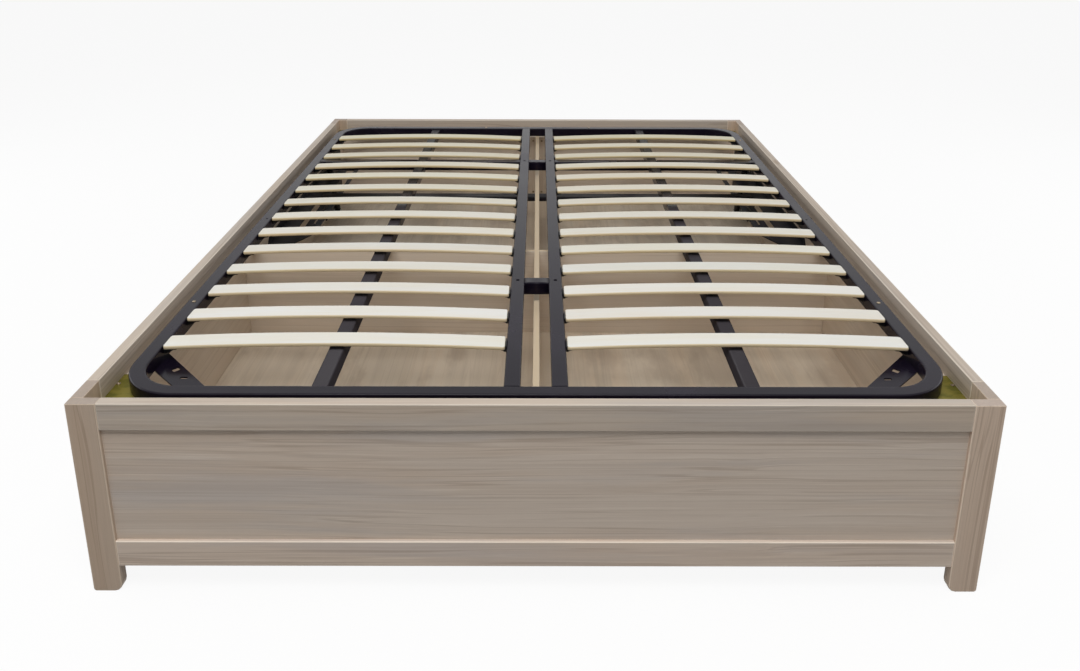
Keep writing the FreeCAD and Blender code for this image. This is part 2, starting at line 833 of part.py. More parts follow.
def base_plate():
    """The bracket on the side wall: an upright plate with both pivots, and a shelf with long slots."""
    body = new_body("base_plate_left")
    side = sketch_on(body, "base_side", "YZ_Plane", "-base_outer")
    outline(
        side,
        [
            ("shelf_from", "shelf_top - base_skirt"),
            ("shelf_to - 250", "shelf_top - base_skirt"),
            ("shelf_to - 120", "floor_top"),
            ("pivot_y + base_tail", "floor_top"),
            ("pivot_y + base_tail", "pivot_level + base_ear - ear_corner"),
            ("pivot_y + base_tail - ear_corner", "pivot_level + base_ear"),
            ("pivot_y - ear_corner", "pivot_level + base_ear"),
            ("pivot_y - ear_slope", "shelf_top + base_lip"),
            ("shelf_from + base_lip", "shelf_top + base_lip"),
            ("shelf_from", "shelf_top"),
        ],
    )
    pad(body, "base_side_pad", side, "base_thick")
    flat = sketch_on(body, "base_shelf", "XY_Plane", "shelf_top - base_thick")
    outline(
        flat,
        [
            ("-(%s)" % base_face, "shelf_from"),
            ("-shelf_inner - shelf_nose", "shelf_from"),
            ("-shelf_inner", "shelf_from + 2 * shelf_nose"),
            ("-shelf_inner", "shelf_to"),
            ("-(%s)" % base_face, "shelf_to"),
        ],
    )
    for (near, far), along in SHELF_SLOTS:
        rectangle(flat, ("-shelf_inner - " + far, "-shelf_inner - " + near), along)
    # the strut passes through the shelf here
    rectangle(flat, ("-strut_at - 15", "-strut_at + 15"), ("shelf_to - 155", "shelf_to - 15"))
    pad(body, "base_shelf_pad", flat, "base_thick")
    return body


base_left = keep(base_plate(), "base_plate_left")
keep(mirror("base_plate_right", base_left, LEFT_RIGHT), "base_plate_right")


def pin(name, centre, radius, face, carried):
    """A pin along X out of a plate's face: a shaft, a spacer up to the piece that it carries, and
    a head past it. The distances are from the middle, on the left side."""
    outer, inner = carried
    head_from = "%s - pin_gap" % inner
    tip = head_from + " - pin_head"
    wide = radius + " + pin_flange"
    shaft = rod(name + "_shaft", "x", centre, radius, "-(%s)" % face, "-(%s)" % tip)
    spacer = rod(name + "_spacer", "x", centre, wide, "-(%s)" % face, "-(%s + pin_gap)" % outer)
    head = rod(name + "_head", "x", centre, wide, "-(%s)" % head_from, "-(%s)" % tip)
    return join(name, shaft, spacer, head)


hinge_carries = ("frame_half", "frame_half - base_thick")
lower_carries = ("strut_at + lower_eye_half", "strut_at - lower_eye_half")
upper_carries = ("strut_at + upper_eye_half", "strut_at - upper_eye_half")
box_pins = [
    pin("hinge_pin_left", ("pivot_y", "pivot_level"), "hinge_pin", base_face, hinge_carries),
    pin("strut_pin_left", (lower_y, lower_level), "strut_pin", base_face, lower_carries),
]
box_pins += [mirror(p.Name + "_mirror", p, LEFT_RIGHT) for p in list(box_pins)]
keep(group("pivot_pins", *box_pins), "pivot_pins")

brace_x = ("-shelf_inner - brace_lap", "shelf_inner + brace_lap")
keep(tube_along_x("brace", brace_span, brace_levels, brace_x), "cross_brace")


def top_bar():
    """The angle welded under the side tube: a flat flange, and an upright one that ends in the lug."""
    body = new_body("top_bar_angle")
    section = sketch_on(body, "top_bar_section", "XZ_Plane", "-(%s) + bar_lead" % upper_y)
    outline(
        section,
        [
            ("-frame_half", frame_low),
            ("-frame_half", frame_low + " - tube"),
            ("-frame_half + base_thick", frame_low + " - tube"),
            ("-frame_half + base_thick", frame_low + " - base_thick"),
            ("-(%s)" % rim_in, frame_low + " - base_thick"),
            ("-(%s)" % rim_in, frame_low),
        ],
    )
    pad(body, "top_bar_pad", section, "(%s) - (%s) + bar_lead" % (side_to, upper_y), backwards=True)
    lug = sketch_on(body, "top_bar_lug", "YZ_Plane", "-frame_half")
    outline(
        lug,
        [
            (side_to + " - lug_lap", frame_low + " - tube"),
            ("pivot_y + lug_half - lug_corner", "pivot_level - lug_half"),
            ("pivot_y + lug_half", "pivot_level - lug_half + lug_corner"),
            ("pivot_y + lug_half", "pivot_level + lug_half - lug_corner"),
            ("pivot_y + lug_half - lug_corner", frame_low),
            (side_to + " - lug_lap", frame_low),
        ],
    )
    hole(lug, ("pivot_y", "pivot_level"), "hinge_pin + run_gap")
    pad(body, "top_bar_lug_pad", lug, "base_thick")
    return body


top_left = keep(top_bar(), "top_bar_left")
keep(mirror("top_bar_right", top_left, LEFT_RIGHT), "top_bar_right")


def along_strut(thing, start_y, start_level, down=False):
    """Turns a piece drawn along Z so that it lies along the strut, and sets its eye at a pivot."""
    lean = value_of("strut_spread") / 2
    thing.Placement.Rotation = Rotation(Vector(1, 0, 0), lean + (180 if down else 0))
    return place(thing, "-strut_at", start_y, start_level)


def turned_piece(name, profile):
    """A solid of revolution round Z from a half outline of radius and height."""
    body = new_body(name)
    sketch = sketch_on(body, name + "_half", "XZ_Plane")
    outline(sketch, profile)
    turned = body.newObject("PartDesign::Revolution", name + "_turn")
    turned.Profile = sketch
    turned.ReferenceAxis = ([f for f in body.Origin.OriginFeatures if f.Role == "Z_Axis"][0], [""])
    turned.Angle = 360
    sketch.Visibility = False
    return body


bore = "strut_tube / 2 - cylinder_wall"
neck = "lower_eye - eye_neck"


def eye(name, whole, radius, half, pin_radius):
    """Adds an eye across the strut to a piece at its own origin, and bores it for its pin."""
    ring = rod(name + "_ring", "x", ("0", "0"), radius, "-" + half, half)
    bored = rod(name + "_bore", "x", ("0", "0"), pin_radius + " + run_gap", "-2 * " + half, "2 * " + half)
    return cut(name, join(name + "_whole", whole, ring), bored)


def cylinder_piece():
    """The strut's tube: an eye, a blind end, a hollow barrel and a seal that the rod slides through."""
    barrel = turned_piece(
        "strut_barrel",
        [
            ("0", neck),
            ("strut_tube / 2", neck),
            ("strut_tube / 2", "strut_tube_end"),
            ("strut_rod / 2 + free_gap", "strut_tube_end"),
            ("strut_rod / 2 + free_gap", "strut_tube_end - seal_deep"),
            (bore, "strut_tube_end - seal_deep"),
            (bore, "lower_eye + blind_end"),
            ("0", "lower_eye + blind_end"),
        ],
    )
    whole = eye("cylinder_left_piece", barrel, "lower_eye", "lower_eye_half", "strut_pin")
    return along_strut(whole, lower_y, lower_level)


def rod_piece():
    """The strut's rod, drawn downwards from the upper eye, with its piston at the far end."""
    shaft = turned_piece(
        "strut_shaft",
        [
            ("0", "upper_neck"),
            ("strut_rod / 2", "upper_neck"),
            ("strut_rod / 2", "piston_from_eye - piston_deep"),
            (bore + " - free_gap", "piston_from_eye - piston_deep"),
            (bore + " - free_gap", "piston_from_eye"),
            ("0", "piston_from_eye"),
        ],
    )
    whole = eye("rod_left_piece", shaft, "upper_eye", "upper_eye_half", "rod_stud")
    return along_strut(whole, upper_y, "pivot_level", down=True)


cylinder_left = keep(cylinder_piece(), "strut_cylinder_left")
keep(mirror("strut_cylinder_right_piece", cylinder_left, LEFT_RIGHT), "strut_cylinder_right")
rod_left = keep(rod_piece(), "strut_rod_left")
keep(mirror("strut_rod_right_piece", rod_left, LEFT_RIGHT), "strut_rod_right")

rim_line = "-frame_half + tube / 2"
stud_face = "frame_half - base_thick"
fasteners = [
    pin("rod_stud_left", (upper_y, "pivot_level"), "rod_stud", stud_face, upper_carries),
    screw("rim_screw_foot_end", "z", (rim_line, "rim_screw_foot"), "frame_top", 1),
    screw("rim_screw_head_end", "z", (rim_line, "rim_screw_head"), "frame_top", 1),
    screw("head_screw", "z", ("-head_screw_at", "frame_head - tube / 2"), "frame_top", 1),
]
fasteners += [mirror(f.Name + "_right", f, LEFT_RIGHT) for f in list(fasteners)]
keep(group("platform_fasteners", *fasteners), "platform_fasteners")

# ---- check every object, then write the nodes ----

doc.recompute()
faults = [o.Name for o in doc.Objects if "Invalid" in o.State or "Error" in o.State]
for node in nodes:
    if node.Shape.isNull() or not node.Shape.isValid() or not node.Shape.Solids:
        faults.append(node.Label)
if faults:
    raise SystemExit("not written, these objects failed: " + ", ".join(faults))

os.makedirs("parts", exist_ok=True)
for node in nodes:
    node.Shape.exportStep("parts/%s.step" % node.Label)
    around = node.Shape.BoundBox
    corners = (around.XMin, around.XMax, around.YMin, around.YMax, around.ZMin, around.ZMax)
    counted = (node.Label, len(node.Shape.Solids))
    print("%-20s %2d solids  X %8.1f %8.1f  Y %8.1f %8.1f  Z %6.1f %6.1f" % (counted + corners))
print(len(nodes), "nodes")
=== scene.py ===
# The looks of a lift-up storage bed base: washed pine box, charcoal steel platform, birch slats.
# Metres, X to the right, Y towards the head, Z up, origin on the ground under the middle.
import math

import bpy
import numpy as np
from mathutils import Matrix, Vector


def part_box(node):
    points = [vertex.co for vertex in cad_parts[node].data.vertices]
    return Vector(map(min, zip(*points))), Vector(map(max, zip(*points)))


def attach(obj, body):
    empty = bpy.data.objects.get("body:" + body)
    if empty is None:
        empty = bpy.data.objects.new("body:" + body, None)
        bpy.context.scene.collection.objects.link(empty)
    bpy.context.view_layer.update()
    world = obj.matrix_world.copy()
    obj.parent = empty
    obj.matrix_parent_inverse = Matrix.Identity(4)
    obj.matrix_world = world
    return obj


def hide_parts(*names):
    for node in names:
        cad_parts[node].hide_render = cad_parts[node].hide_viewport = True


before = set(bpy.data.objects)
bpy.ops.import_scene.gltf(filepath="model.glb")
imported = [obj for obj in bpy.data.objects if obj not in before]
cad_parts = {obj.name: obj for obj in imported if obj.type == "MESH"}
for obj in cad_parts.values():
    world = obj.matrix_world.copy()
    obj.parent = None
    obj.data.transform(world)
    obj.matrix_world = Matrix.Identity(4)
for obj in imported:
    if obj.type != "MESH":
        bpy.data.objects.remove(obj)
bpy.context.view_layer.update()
mm = 0.001
flatMargin = 0.4 * mm  # a point this far beside each curve keeps the flat face there flat


# Shapes. Each is a dictionary of points, faces and what the finishes read at every point.

def gridFaces(rows, columns, closedRows=False):
    # quads between neighbouring rows of points; the columns close on themselves, right-handed
    # about the direction that the rows follow, so that every quad faces outwards
    row, column = np.meshgrid(
        np.arange(rows if closedRows else rows - 1), np.arange(columns), indexing="ij"
    )
    nextRow, nextColumn = (row + 1) % rows, (column + 1) % columns
    corners = (
        row * columns + column,
        row * columns + nextColumn,
        nextRow * columns + nextColumn,
        nextRow * columns + column,
    )
    return np.stack(corners, axis=-1).reshape(-1, 4).tolist()


def sweptShape(rings, closedRows=False, worn=None):
    # a skin over rings of points, an array of rows x columns x 3, with a flat cap at each free end
    rows, columns = rings.shape[:2]
    faces = gridFaces(rows, columns, closedRows)
    if not closedRows:
        faces.append(list(range(columns))[::-1])
        faces.append(list(range((rows - 1) * columns, rows * columns)))
    points = rings.reshape(-1, 3)
    wear = np.zeros((rows, columns)) if worn is None else worn
    return {"points": points, "faces": faces, "worn": wear.reshape(-1)}


def joinShapes(shapes):
    # one shape from several: the points follow each other, and the faces count on from there
    starts = np.cumsum([0] + [len(s["points"]) for s in shapes[:-1]]).tolist()
    moved = [[i + k for i in face] for s, k in zip(shapes, starts) for face in s["faces"]]
    joined = {"faces": moved}
    for key in shapes[0]:
        if key != "faces":
            joined[key] = np.concatenate([s[key] for s in shapes])
    return joined


def mirrored(shape, axis):
    # the same shape across the middle, its faces turned round so that they still face outwards
    copy = dict(shape)
    copy["points"] = shape["points"] * np.where(np.arange(3) == axis, -1.0, 1.0)
    copy["faces"] = [face[::-1] for face in shape["faces"]]
    return copy


def bothSides(shapes):
    return joinShapes(shapes + [mirrored(shape, 0) for shape in shapes])


def turned(shape, centre, toward):
    # a shape made round Z is turned the shortest way until its Z points there, and then moved
    spin = np.array(Vector((0, 0, 1)).rotation_difference(Vector(toward)).to_matrix())
    shape["points"] = shape["points"] @ spin.T + np.array(centre)
    return shape


def lathed(profile, centre, toward, sides=24):
    # a profile of distance d and radius r turned round an axis: x = r cos t, y = r sin t, z = d
    profile = np.array(profile, float)
    angle = np.linspace(0, 2 * math.pi, sides, endpoint=False)
    rings = np.zeros((len(profile), sides, 3))
    rings[..., 0] = profile[:, 1:] * np.cos(angle)
    rings[..., 1] = profile[:, 1:] * np.sin(angle)
    rings[..., 2] = profile[:, :1]
    return turned(sweptShape(rings), centre, toward)


def roundedOutline(corners, radii, steps=3, beside=flatMargin):
    # a closed outline, counter-clockwise, whose corners are arcs, with normals that point inwards
    # and a mark on the curved points. Each arc starts a radius times the tangent of half the turn
    # before its corner, and a point stands beside each of its ends
    corners = np.array(corners, float)
    radius = np.broadcast_to(np.array(radii, float), (len(corners),))
    into = corners - np.roll(corners, 1, axis=0)
    into /= np.linalg.norm(into, axis=1)[:, None]
    out = np.roll(into, -1, axis=0)
    turn = np.arctan2(into[:, 0] * out[:, 1] - into[:, 1] * out[:, 0], (into * out).sum(1))
    back = radius * np.tan(turn / 2)
    inward = np.stack([-into[:, 1], into[:, 0]], axis=1)
    centre = corners - into * back[:, None] + inward * radius[:, None]
    angle = turn[:, None] * np.linspace(0, 1, steps + 1)[None, :]
    cos, sin = np.cos(angle), np.sin(angle)
    x, y = inward[:, :1], inward[:, 1:]
    normals = np.stack([cos * x - sin * y, sin * x + cos * y], axis=-1)
    arcs = centre[:, None, :] - normals * radius[:, None, None]
    before = corners - into * (back + beside)[:, None]
    after = corners + out * (back + beside)[:, None]
    points = np.concatenate([before[:, None], arcs, after[:, None]], axis=1)
    normals = np.concatenate([normals[:, :1], normals, normals[:, -1:]], axis=1)
    curved = np.zeros(points.shape[:2])
    curved[:, 1:-1] = 1
    return points.reshape(-1, 2), normals.reshape(-1, 2), curved.reshape(-1)


def rectangle(across, up):
    (left, right), (low, high) = across, up
    return [(left, low), (right, low), (right, high), (left, high)]


def insetCorners(corners, distance):
    # every corner moves in so that both its sides move by d: c + d (n1 + n2) / (1 + n1.n2)
    corners = np.array(corners, float)
    into = corners - np.roll(corners, 1, axis=0)
    into /= np.linalg.norm(into, axis=1)[:, None]
    inward = np.stack([-into[:, 1], into[:, 0]], axis=1)
    both = inward + np.roll(inward, -1, axis=0)
    return corners + distance * both / (0.5 * (both**2).sum(1))[:, None]


def plateShape(corners, radii, low, high, ease, axes, steps=3):
    # an outline drawn through a thickness: rings step inwards round a quarter circle at both faces,
    # and their corners' radii shrink too. axes names the outline's two ways and the thickness
    angle = np.linspace(0, math.pi / 2, 4)
    inset = np.concatenate([[ease + flatMargin], ease * (1 - np.sin(angle)), [0]])
    level = np.concatenate([[0], ease * (1 - np.cos(angle)), [ease + flatMargin]])
    insets = np.concatenate([inset, inset[::-1]])
    levels = np.concatenate([low + level, high - level[::-1]])
    edge = np.concatenate([[0], np.ones(len(angle)), [0]])
    edges = np.tile(edge, 2)
    outlines = [
        roundedOutline(insetCorners(corners, d), np.maximum(np.array(radii) - d, 0.05 * mm), steps)
        for d in insets
    ]
    flat, curved = np.stack([outline[0] for outline in outlines]), outlines[0][2]
    rings = np.zeros((len(levels), flat.shape[1], 3))
    order = ["xyz".index(a) for a in axes]
    rings[..., order[:2]] = flat
    rings[..., order[2]] = levels[:, None]
    worn = np.maximum(edges[:, None], curved[None, :] * (insets[:, None] < ease))
    shape = sweptShape(rings, worn=worn)
    if np.linalg.det(np.eye(3)[order]) < 0:
        shape["faces"] = [face[::-1] for face in shape["faces"]]
    return shape


def placed(name, data):
    # a new object in the scene
    made = bpy.data.objects.new(name, data)
    bpy.context.scene.collection.objects.link(made)
    return made


def makePiece(name, shape, material, body, slot, nodes=()):
    # the finished mesh object, riding on its body and standing for the construction's own nodes
    mesh = bpy.data.meshes.new(name)
    mesh.from_pydata(shape["points"], [], shape["faces"])
    mesh.polygons.foreach_set("use_smooth", np.ones(len(mesh.polygons), bool))
    for key, values in shape.items():
        if key in ("points", "faces"):
            continue
        kind, field = ("FLOAT_VECTOR", "vector") if values.ndim == 2 else ("FLOAT", "value")
        attribute = mesh.attributes.new(key, kind, "POINT")
        attribute.data.foreach_set(field, np.ascontiguousarray(values, np.float32).ravel())
    mesh.validate()
    mesh.materials.append(material)
    piece = placed(name, mesh)
    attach(piece, body)
    if nodes:
        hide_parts(*nodes)
    return piece


def sharpen(mesh, degrees=40):
    # faces that meet at more than this angle keep a sharp edge
    mesh.set_sharp_from_angle(angle=math.radians(degrees))


# Finishes.

def tone(red, green, blue):
    # a colour written as it looks on a screen, 0 to 255, as the shader's linear light
    parts = np.array([red, green, blue]) / 255
    linear = np.where(parts <= 0.04045, parts / 12.92, ((parts + 0.055) / 1.055) ** 2.4)
    return (*[float(p) for p in linear], 1.0)


class Finish:
    # a material under construction: its nodes are added from left to right
    def __init__(self, name):
        self.material = bpy.data.materials.new(name)
        self.material.use_nodes = True
        self.nodes = self.material.node_tree.nodes
        self.links = self.material.node_tree.links
        self.shader = self.nodes["Principled BSDF"]

    def add(self, kind, settings=None, **inputs):
        made = self.nodes.new(kind)
        for key, value in (settings or {}).items():
            setattr(made, key, value)
        for key, value in inputs.items():
            self.feed(made.inputs[key.replace("_", " ")], value)
        return made

    def feed(self, socket, value):
        if isinstance(value, bpy.types.NodeSocket):
            self.links.new(value, socket)
        else:
            socket.default_value = value

    def place(self):
        return self.add("ShaderNodeTexCoord").outputs["Object"]

    def along(self, axis):
        # where a point lies in its own board, with x along the grain
        spot = self.vector("ADD", self.place(), self.attribute("shift"))
        x, y, z = self.add("ShaderNodeSeparateXYZ", Vector=spot).outputs
        order = {"x": (x, y, z), "y": (y, x, z), "z": (z, x, y)}[axis]
        return self.add("ShaderNodeCombineXYZ", X=order[0], Y=order[1], Z=order[2]).outputs[0]

    def stretched(self, source, scale, detail, roughness=0.55):
        # noise drawn out along the grain: scale is turns per metre along, across and through
        spot = self.add("ShaderNodeMapping", Vector=source, Scale=scale).outputs[0]
        values = dict(Scale=1.0, Detail=detail, Roughness=roughness)
        return self.add("ShaderNodeTexNoise", Vector=spot, **values).outputs["Fac"]

    def ramp(self, value, low, high, start=0.0, end=1.0):
        smooth = {"interpolation_type": "SMOOTHSTEP"}
        limits = dict(From_Min=low, From_Max=high, To_Min=start, To_Max=end)
        return self.add("ShaderNodeMapRange", smooth, Value=value, **limits).outputs[0]

    def math(self, operation, *values, kind="ShaderNodeMath"):
        made = self.add(kind, {"operation": operation})
        for socket, value in zip(made.inputs, values):
            self.feed(socket, value)
        return made.outputs[0]

    def vector(self, operation, *values):
        return self.math(operation, *values, kind="ShaderNodeVectorMath")

    def mix(self, share, a, b):
        colours = {"data_type": "RGBA"}
        return self.add("ShaderNodeMix", colours, Factor=share, A=a, B=b).outputs["Result"]

    def attribute(self, name, output="Vector"):
        return self.add("ShaderNodeAttribute", {"attribute_name": name}).outputs[output]

    def tinted(self, colour):
        # each board's tint, its own tone plus the painted light on the bottom rails and the slats:
        # colour + colour * tint
        return self.vector("MULTIPLY_ADD", colour, self.attribute("tint"), colour)

    def surface(self, colour, roughness, specular):
        looks = {"Base Color": colour, "Roughness": roughness, "Specular IOR Level": specular}
        for key, value in looks.items():
            self.feed(self.shader.inputs[key], value)

    def finish(self, colour, roughness, specular, height, bump):
        self.surface(colour, roughness, specular)
        relief = self.add("ShaderNodeBump", Height=height, Distance=bump)
        self.feed(self.shader.inputs["Normal"], relief.outputs[0])
        return self.material


washed = {
    "body": (201, 187, 171),
    "grey": (180, 173, 167),
    "rosy": (198, 178, 157),
    "line": (152, 133, 115),
    "knot": (150, 123, 98),
    "worn": (228, 217, 201),
    "end": (168, 160, 153),
    "lines": 0.42,
    "fibres": 1.0,
    "clouds": 0.5,
    "figure": 0.0,
    "roughness": 0.5,
    "specular": 0.22,
}


# how the grain is drawn: the first nine are turns per metre along, across and through a board
grains = {
    "knots": (1.7, 5, 5),
    "wander": (1.1, 4, 4),
    "clouds": (1.5, 17, 17),
    "blush": (1.2, 12, 12),
    "figure": (3.6, 9, 9),
    "rings": (0.4, 52, 52),
    "fading": (2.6, 24, 24),
    "fibres": (2.4, 240, 240),
    "pores": (24, 1400, 1400),
    "knotPush": 0.22,
    "sway": 0.03,
    "softLines": 0.4,
    "darkFibres": 0.24,
    "paleFibres": 0.3,
    "knotShade": 0.4,
    "poreShade": 0.18,
    "relief": 0.2 * mm,
}


def washedWood(name, look, axis):
    # pine under a grey wash: clouds of blue grey and brown, the soft figure of the floor's boards,
    # thin growth lines that bend round the few knots, pale and dark fibres, pores, and worn edges
    made = Finish(name)
    inks = ("body", "grey", "rosy", "line", "knot", "worn", "end")
    body, grey, rosy, line, knot, worn, end = [tone(*look[ink]) for ink in inks]
    grain = made.along(axis)
    spread = made.add("ShaderNodeMapping", Vector=grain, Scale=grains["knots"]).outputs[0]
    knots = made.add("ShaderNodeTexVoronoi", Vector=spread, Scale=1.0).outputs["Distance"]
    wander = made.stretched(grain, grains["wander"], 2)
    shove = made.math("ADD", wander, made.ramp(knots, 0.02, 0.16, grains["knotPush"], 0))
    sway = made.add("ShaderNodeCombineXYZ", Y=shove, Z=shove).outputs[0]
    bent = made.vector("MULTIPLY_ADD", sway, (grains["sway"],) * 3, grain)
    cloud = made.ramp(made.stretched(bent, grains["clouds"], 4), 0.46, 0.68, 0, look["clouds"])
    blush = made.ramp(made.stretched(bent, grains["blush"], 4), 0.46, 0.68, 0, look["clouds"])
    colour = made.mix(blush, body, rosy)
    colour = made.mix(cloud, colour, grey)
    figure = made.ramp(made.stretched(bent, grains["figure"], 4, 0.6), 0.5, 0.66, 0, look["figure"])
    colour = made.mix(figure, colour, line)
    ring = made.stretched(bent, grains["rings"], 2, 0.5)
    soft = look["lines"] * grains["softLines"]
    colour = made.mix(made.ramp(ring, 0.5, 0.68, 0, soft), colour, line)
    thin = made.ramp(made.math("ABSOLUTE", made.math("SUBTRACT", ring, 0.5)), 0.004, 0.034, 1, 0)
    fade = made.ramp(made.stretched(grain, grains["fading"], 2), 0.36, 0.6, 0.15, look["lines"])
    colour = made.mix(made.math("MULTIPLY", thin, fade), colour, line)
    fibre = made.stretched(bent, grains["fibres"], 3, 0.7)
    dark, pale = grains["darkFibres"] * look["fibres"], grains["paleFibres"] * look["fibres"]
    colour = made.mix(made.ramp(fibre, 0.5, 0.75, 0, dark), colour, line)
    colour = made.mix(made.ramp(fibre, 0.26, 0.46, pale, 0), colour, worn)
    colour = made.mix(made.ramp(knots, 0.02, 0.06, grains["knotShade"], 0), colour, knot)
    pore = made.stretched(bent, grains["pores"], 2, 0.6)
    colour = made.mix(made.ramp(pore, 0.55, 0.8, 0, grains["poreShade"]), colour, line)
    wear, cut = made.attribute("worn", "Fac"), made.attribute("end", "Fac")
    wear = made.math("MULTIPLY", wear, made.ramp(fibre, 0.3, 0.6, 0.4, 0.9))
    cut = made.math("MULTIPLY", cut, made.ramp(fibre, 0.2, 0.7, 1, 0.7))
    colour = made.tinted(made.mix(cut, made.mix(wear, colour, worn), end))
    roughness = made.ramp(ring, 0.3, 0.8, look["roughness"] - 0.06, look["roughness"] + 0.1)
    height = made.math("ADD", made.math("MULTIPLY", thin, -0.3), made.math("MULTIPLY", pore, -0.5))
    return made.finish(colour, roughness, look["specular"], height, grains["relief"])


coat = {
    "colour": (20, 15, 27),
    # the pale patches are partly real dust and partly painted sheen, the smudged reflections on the
    # tubes
    "dust": (68, 61, 80),
    "dusty": 0.32,
    "roughness": 0.22,
    "specular": 0.14,
}


def powderCoat(name, look):
    # powder-coated steel: fine orange peel, a thin uneven pale bloom that is partly real dust and
    # partly painted sheen, satin gloss
    made = Finish(name)
    place = made.place()
    bloom = made.stretched(place, (3, 3, 3), 5, 0.65)
    speck = made.stretched(place, (420, 420, 420), 2)
    patches = made.ramp(bloom, 0.42, 0.75, 0, look["dusty"])
    dust = made.math("MULTIPLY", patches, made.ramp(speck, 0.4, 0.75, 0.3, 1))
    colour = made.mix(dust, tone(*look["colour"]), tone(*look["dust"]))
    rough = made.ramp(bloom, 0.3, 0.75, look["roughness"] - 0.05, look["roughness"] + 0.1)
    peel = made.stretched(place, (900, 900, 900), 1)
    return made.finish(colour, rough, look["specular"], peel, 0.04 * mm)


birch = {
    "top": (233, 232, 226),
    "warm": (231, 226, 212),
    "fleck": (220, 208, 184),
    "core": (228, 211, 176),
    "glue": (205, 184, 146),
    "ply": 1.15 * mm,
    "specular": 0.25,
}


def birchPly(name, look):
    # lacquered birch plywood: pale faces with faint flecks, and yellower edges that show the plies.
    # side says which points are on an edge, and level how high they lie in the slat
    made = Finish(name)
    grain = made.along("x")
    soft = made.stretched(grain, (2.4, 22, 22), 3)
    fine = made.stretched(grain, (14, 420, 420), 3, 0.65)
    face = made.mix(made.ramp(soft, 0.35, 0.7, 0, 0.8), tone(*look["top"]), tone(*look["warm"]))
    face = made.mix(made.ramp(fine, 0.52, 0.78, 0, 0.4), face, tone(*look["fleck"]))
    layer = made.math("PINGPONG", made.attribute("level", "Fac"), look["ply"])
    layer = made.ramp(layer, look["ply"] * 0.55, look["ply"] * 0.9, 0, 0.6)
    side = made.mix(layer, tone(*look["core"]), tone(*look["glue"]))
    side = made.mix(made.ramp(fine, 0.45, 0.8, 0, 0.3), side, tone(*look["glue"]))
    colour = made.tinted(made.mix(made.attribute("side", "Fac"), face, side))
    rough = made.ramp(fine, 0.3, 0.8, 0.38, 0.52)
    return made.finish(colour, rough, look["specular"], fine, 0.04 * mm)


plastic = {"colour": (17, 17, 18), "bloom": (42, 42, 44), "roughness": 0.42, "specular": 0.4}


def mouldedPlastic(name, look):
    # black nylon with a faint bloom and a fine moulded grain
    made = Finish(name)
    cast = made.stretched(made.place(), (40, 40, 40), 3)
    bloom = made.ramp(cast, 0.4, 0.7, 0, 0.3)
    colour = made.mix(bloom, tone(*look["colour"]), tone(*look["bloom"]))
    rough = made.ramp(cast, 0.3, 0.7, look["roughness"] - 0.06, look["roughness"] + 0.14)
    grain = made.stretched(made.place(), (1400, 1400, 1400), 2)
    return made.finish(colour, rough, look["specular"], grain, 0.05 * mm)


def platedMetal(name, colour, stain, roughness, metal=1.0):
    # plated steel: a thin uneven film of a second colour and fine rolling marks
    made = Finish(name)
    film = made.stretched(made.place(), (30, 45, 30), 4, 0.6)
    marks = made.stretched(made.place(), (60, 1200, 600), 3)
    shade = made.mix(made.ramp(film, 0.4, 0.65), tone(*colour), tone(*stain))
    made.shader.inputs["Metallic"].default_value = metal
    rough = made.ramp(marks, 0.3, 0.7, roughness - 0.04, roughness + 0.1)
    return made.finish(shade, rough, 0.5, marks, 0.02 * mm)


# the inside's pine is paler than the walls': partly its own tone and partly painted light, for the
# sky light that the inside of the box misses
inner = dict(
    washed,
    body=(221, 207, 190),
    grey=(209, 197, 183),
    rosy=(219, 200, 181),
    line=(176, 157, 138),
    end=(222, 200, 166),
    lines=0.28,
    fibres=0.6,
)
# the floor boards are paler still, in the same way partly painted light
floorLitLook = dict(
    inner,
    body=(227, 213, 193),
    grey=(212, 198, 179),
    rosy=(227, 209, 186),
    clouds=0.9,
    figure=0.4,
    lines=0.16,
    fibres=0.22,
)

wood = {axis: washedWood("washedPine" + axis.upper(), washed, axis) for axis in "xyz"}
innerLitWood = {axis: washedWood("innerPine" + axis.upper(), inner, axis) for axis in "xyz"}
floorLitWood = washedWood("floorBoard", floorLitLook, "y")
steel = powderCoat("platformCoat", coat)
# the bearers' coat is a paler, less glossy copy of the platform's: its grey is painted reflection,
# the sheen of the slats and sky on their tops
bearerSheenLook = dict(coat, colour=(64, 60, 64), dust=(92, 88, 94), specular=0.06)
bearerSheenSteel = powderCoat("bearerCoat", bearerSheenLook)
liftSteel = powderCoat("liftCoat", dict(coat, colour=(15, 15, 16), roughness=0.36, specular=0.2))
slatWood = birchPly("birchSlat", birch)
capPlastic = mouldedPlastic("holderPlastic", plastic)
yellowZinc = platedMetal("yellowZinc", (138, 128, 52), (104, 102, 34), 0.45, 0.6)
brightZinc = platedMetal("brightZinc", (206, 204, 198), (168, 164, 150), 0.3)
screwZinc = platedMetal("screwZinc", (168, 152, 130), (118, 104, 88), 0.36)
strutPaint = platedMetal("strutPaint", (24, 24, 26), (16, 16, 18), 0.22, 0.0)
chrome = platedMetal("rodChrome", (226, 226, 230), (214, 214, 220), 0.08)
print("finishes ready")


# The box. Its boards are eased, each with its own stretch of grain and its own tint.

dice = np.random.default_rng(7)
boards = {
    "ease": 1.6 * mm,
    "butt": 0.5 * mm,
    "linerEase": 0.8 * mm,
    "panelEase": 0.4 * mm,
    "spread": 0.03,
    "railTint": (-0.02, -0.02, -0.01),
    # the bottom rails' lighter tint is painted light, the bounce from the floor just below them
    "sillTint": (0.26, 0.24, 0.26),
    "stileTint": (-0.02, -0.09, -0.14),
    "rightStileTint": (0.14, 0.06, 0.02),
    "panelTint": (0.13, 0.14, 0.18),
    "plainTint": (0.0, 0.0, 0.0),
    "tongue": 8 * mm,
}


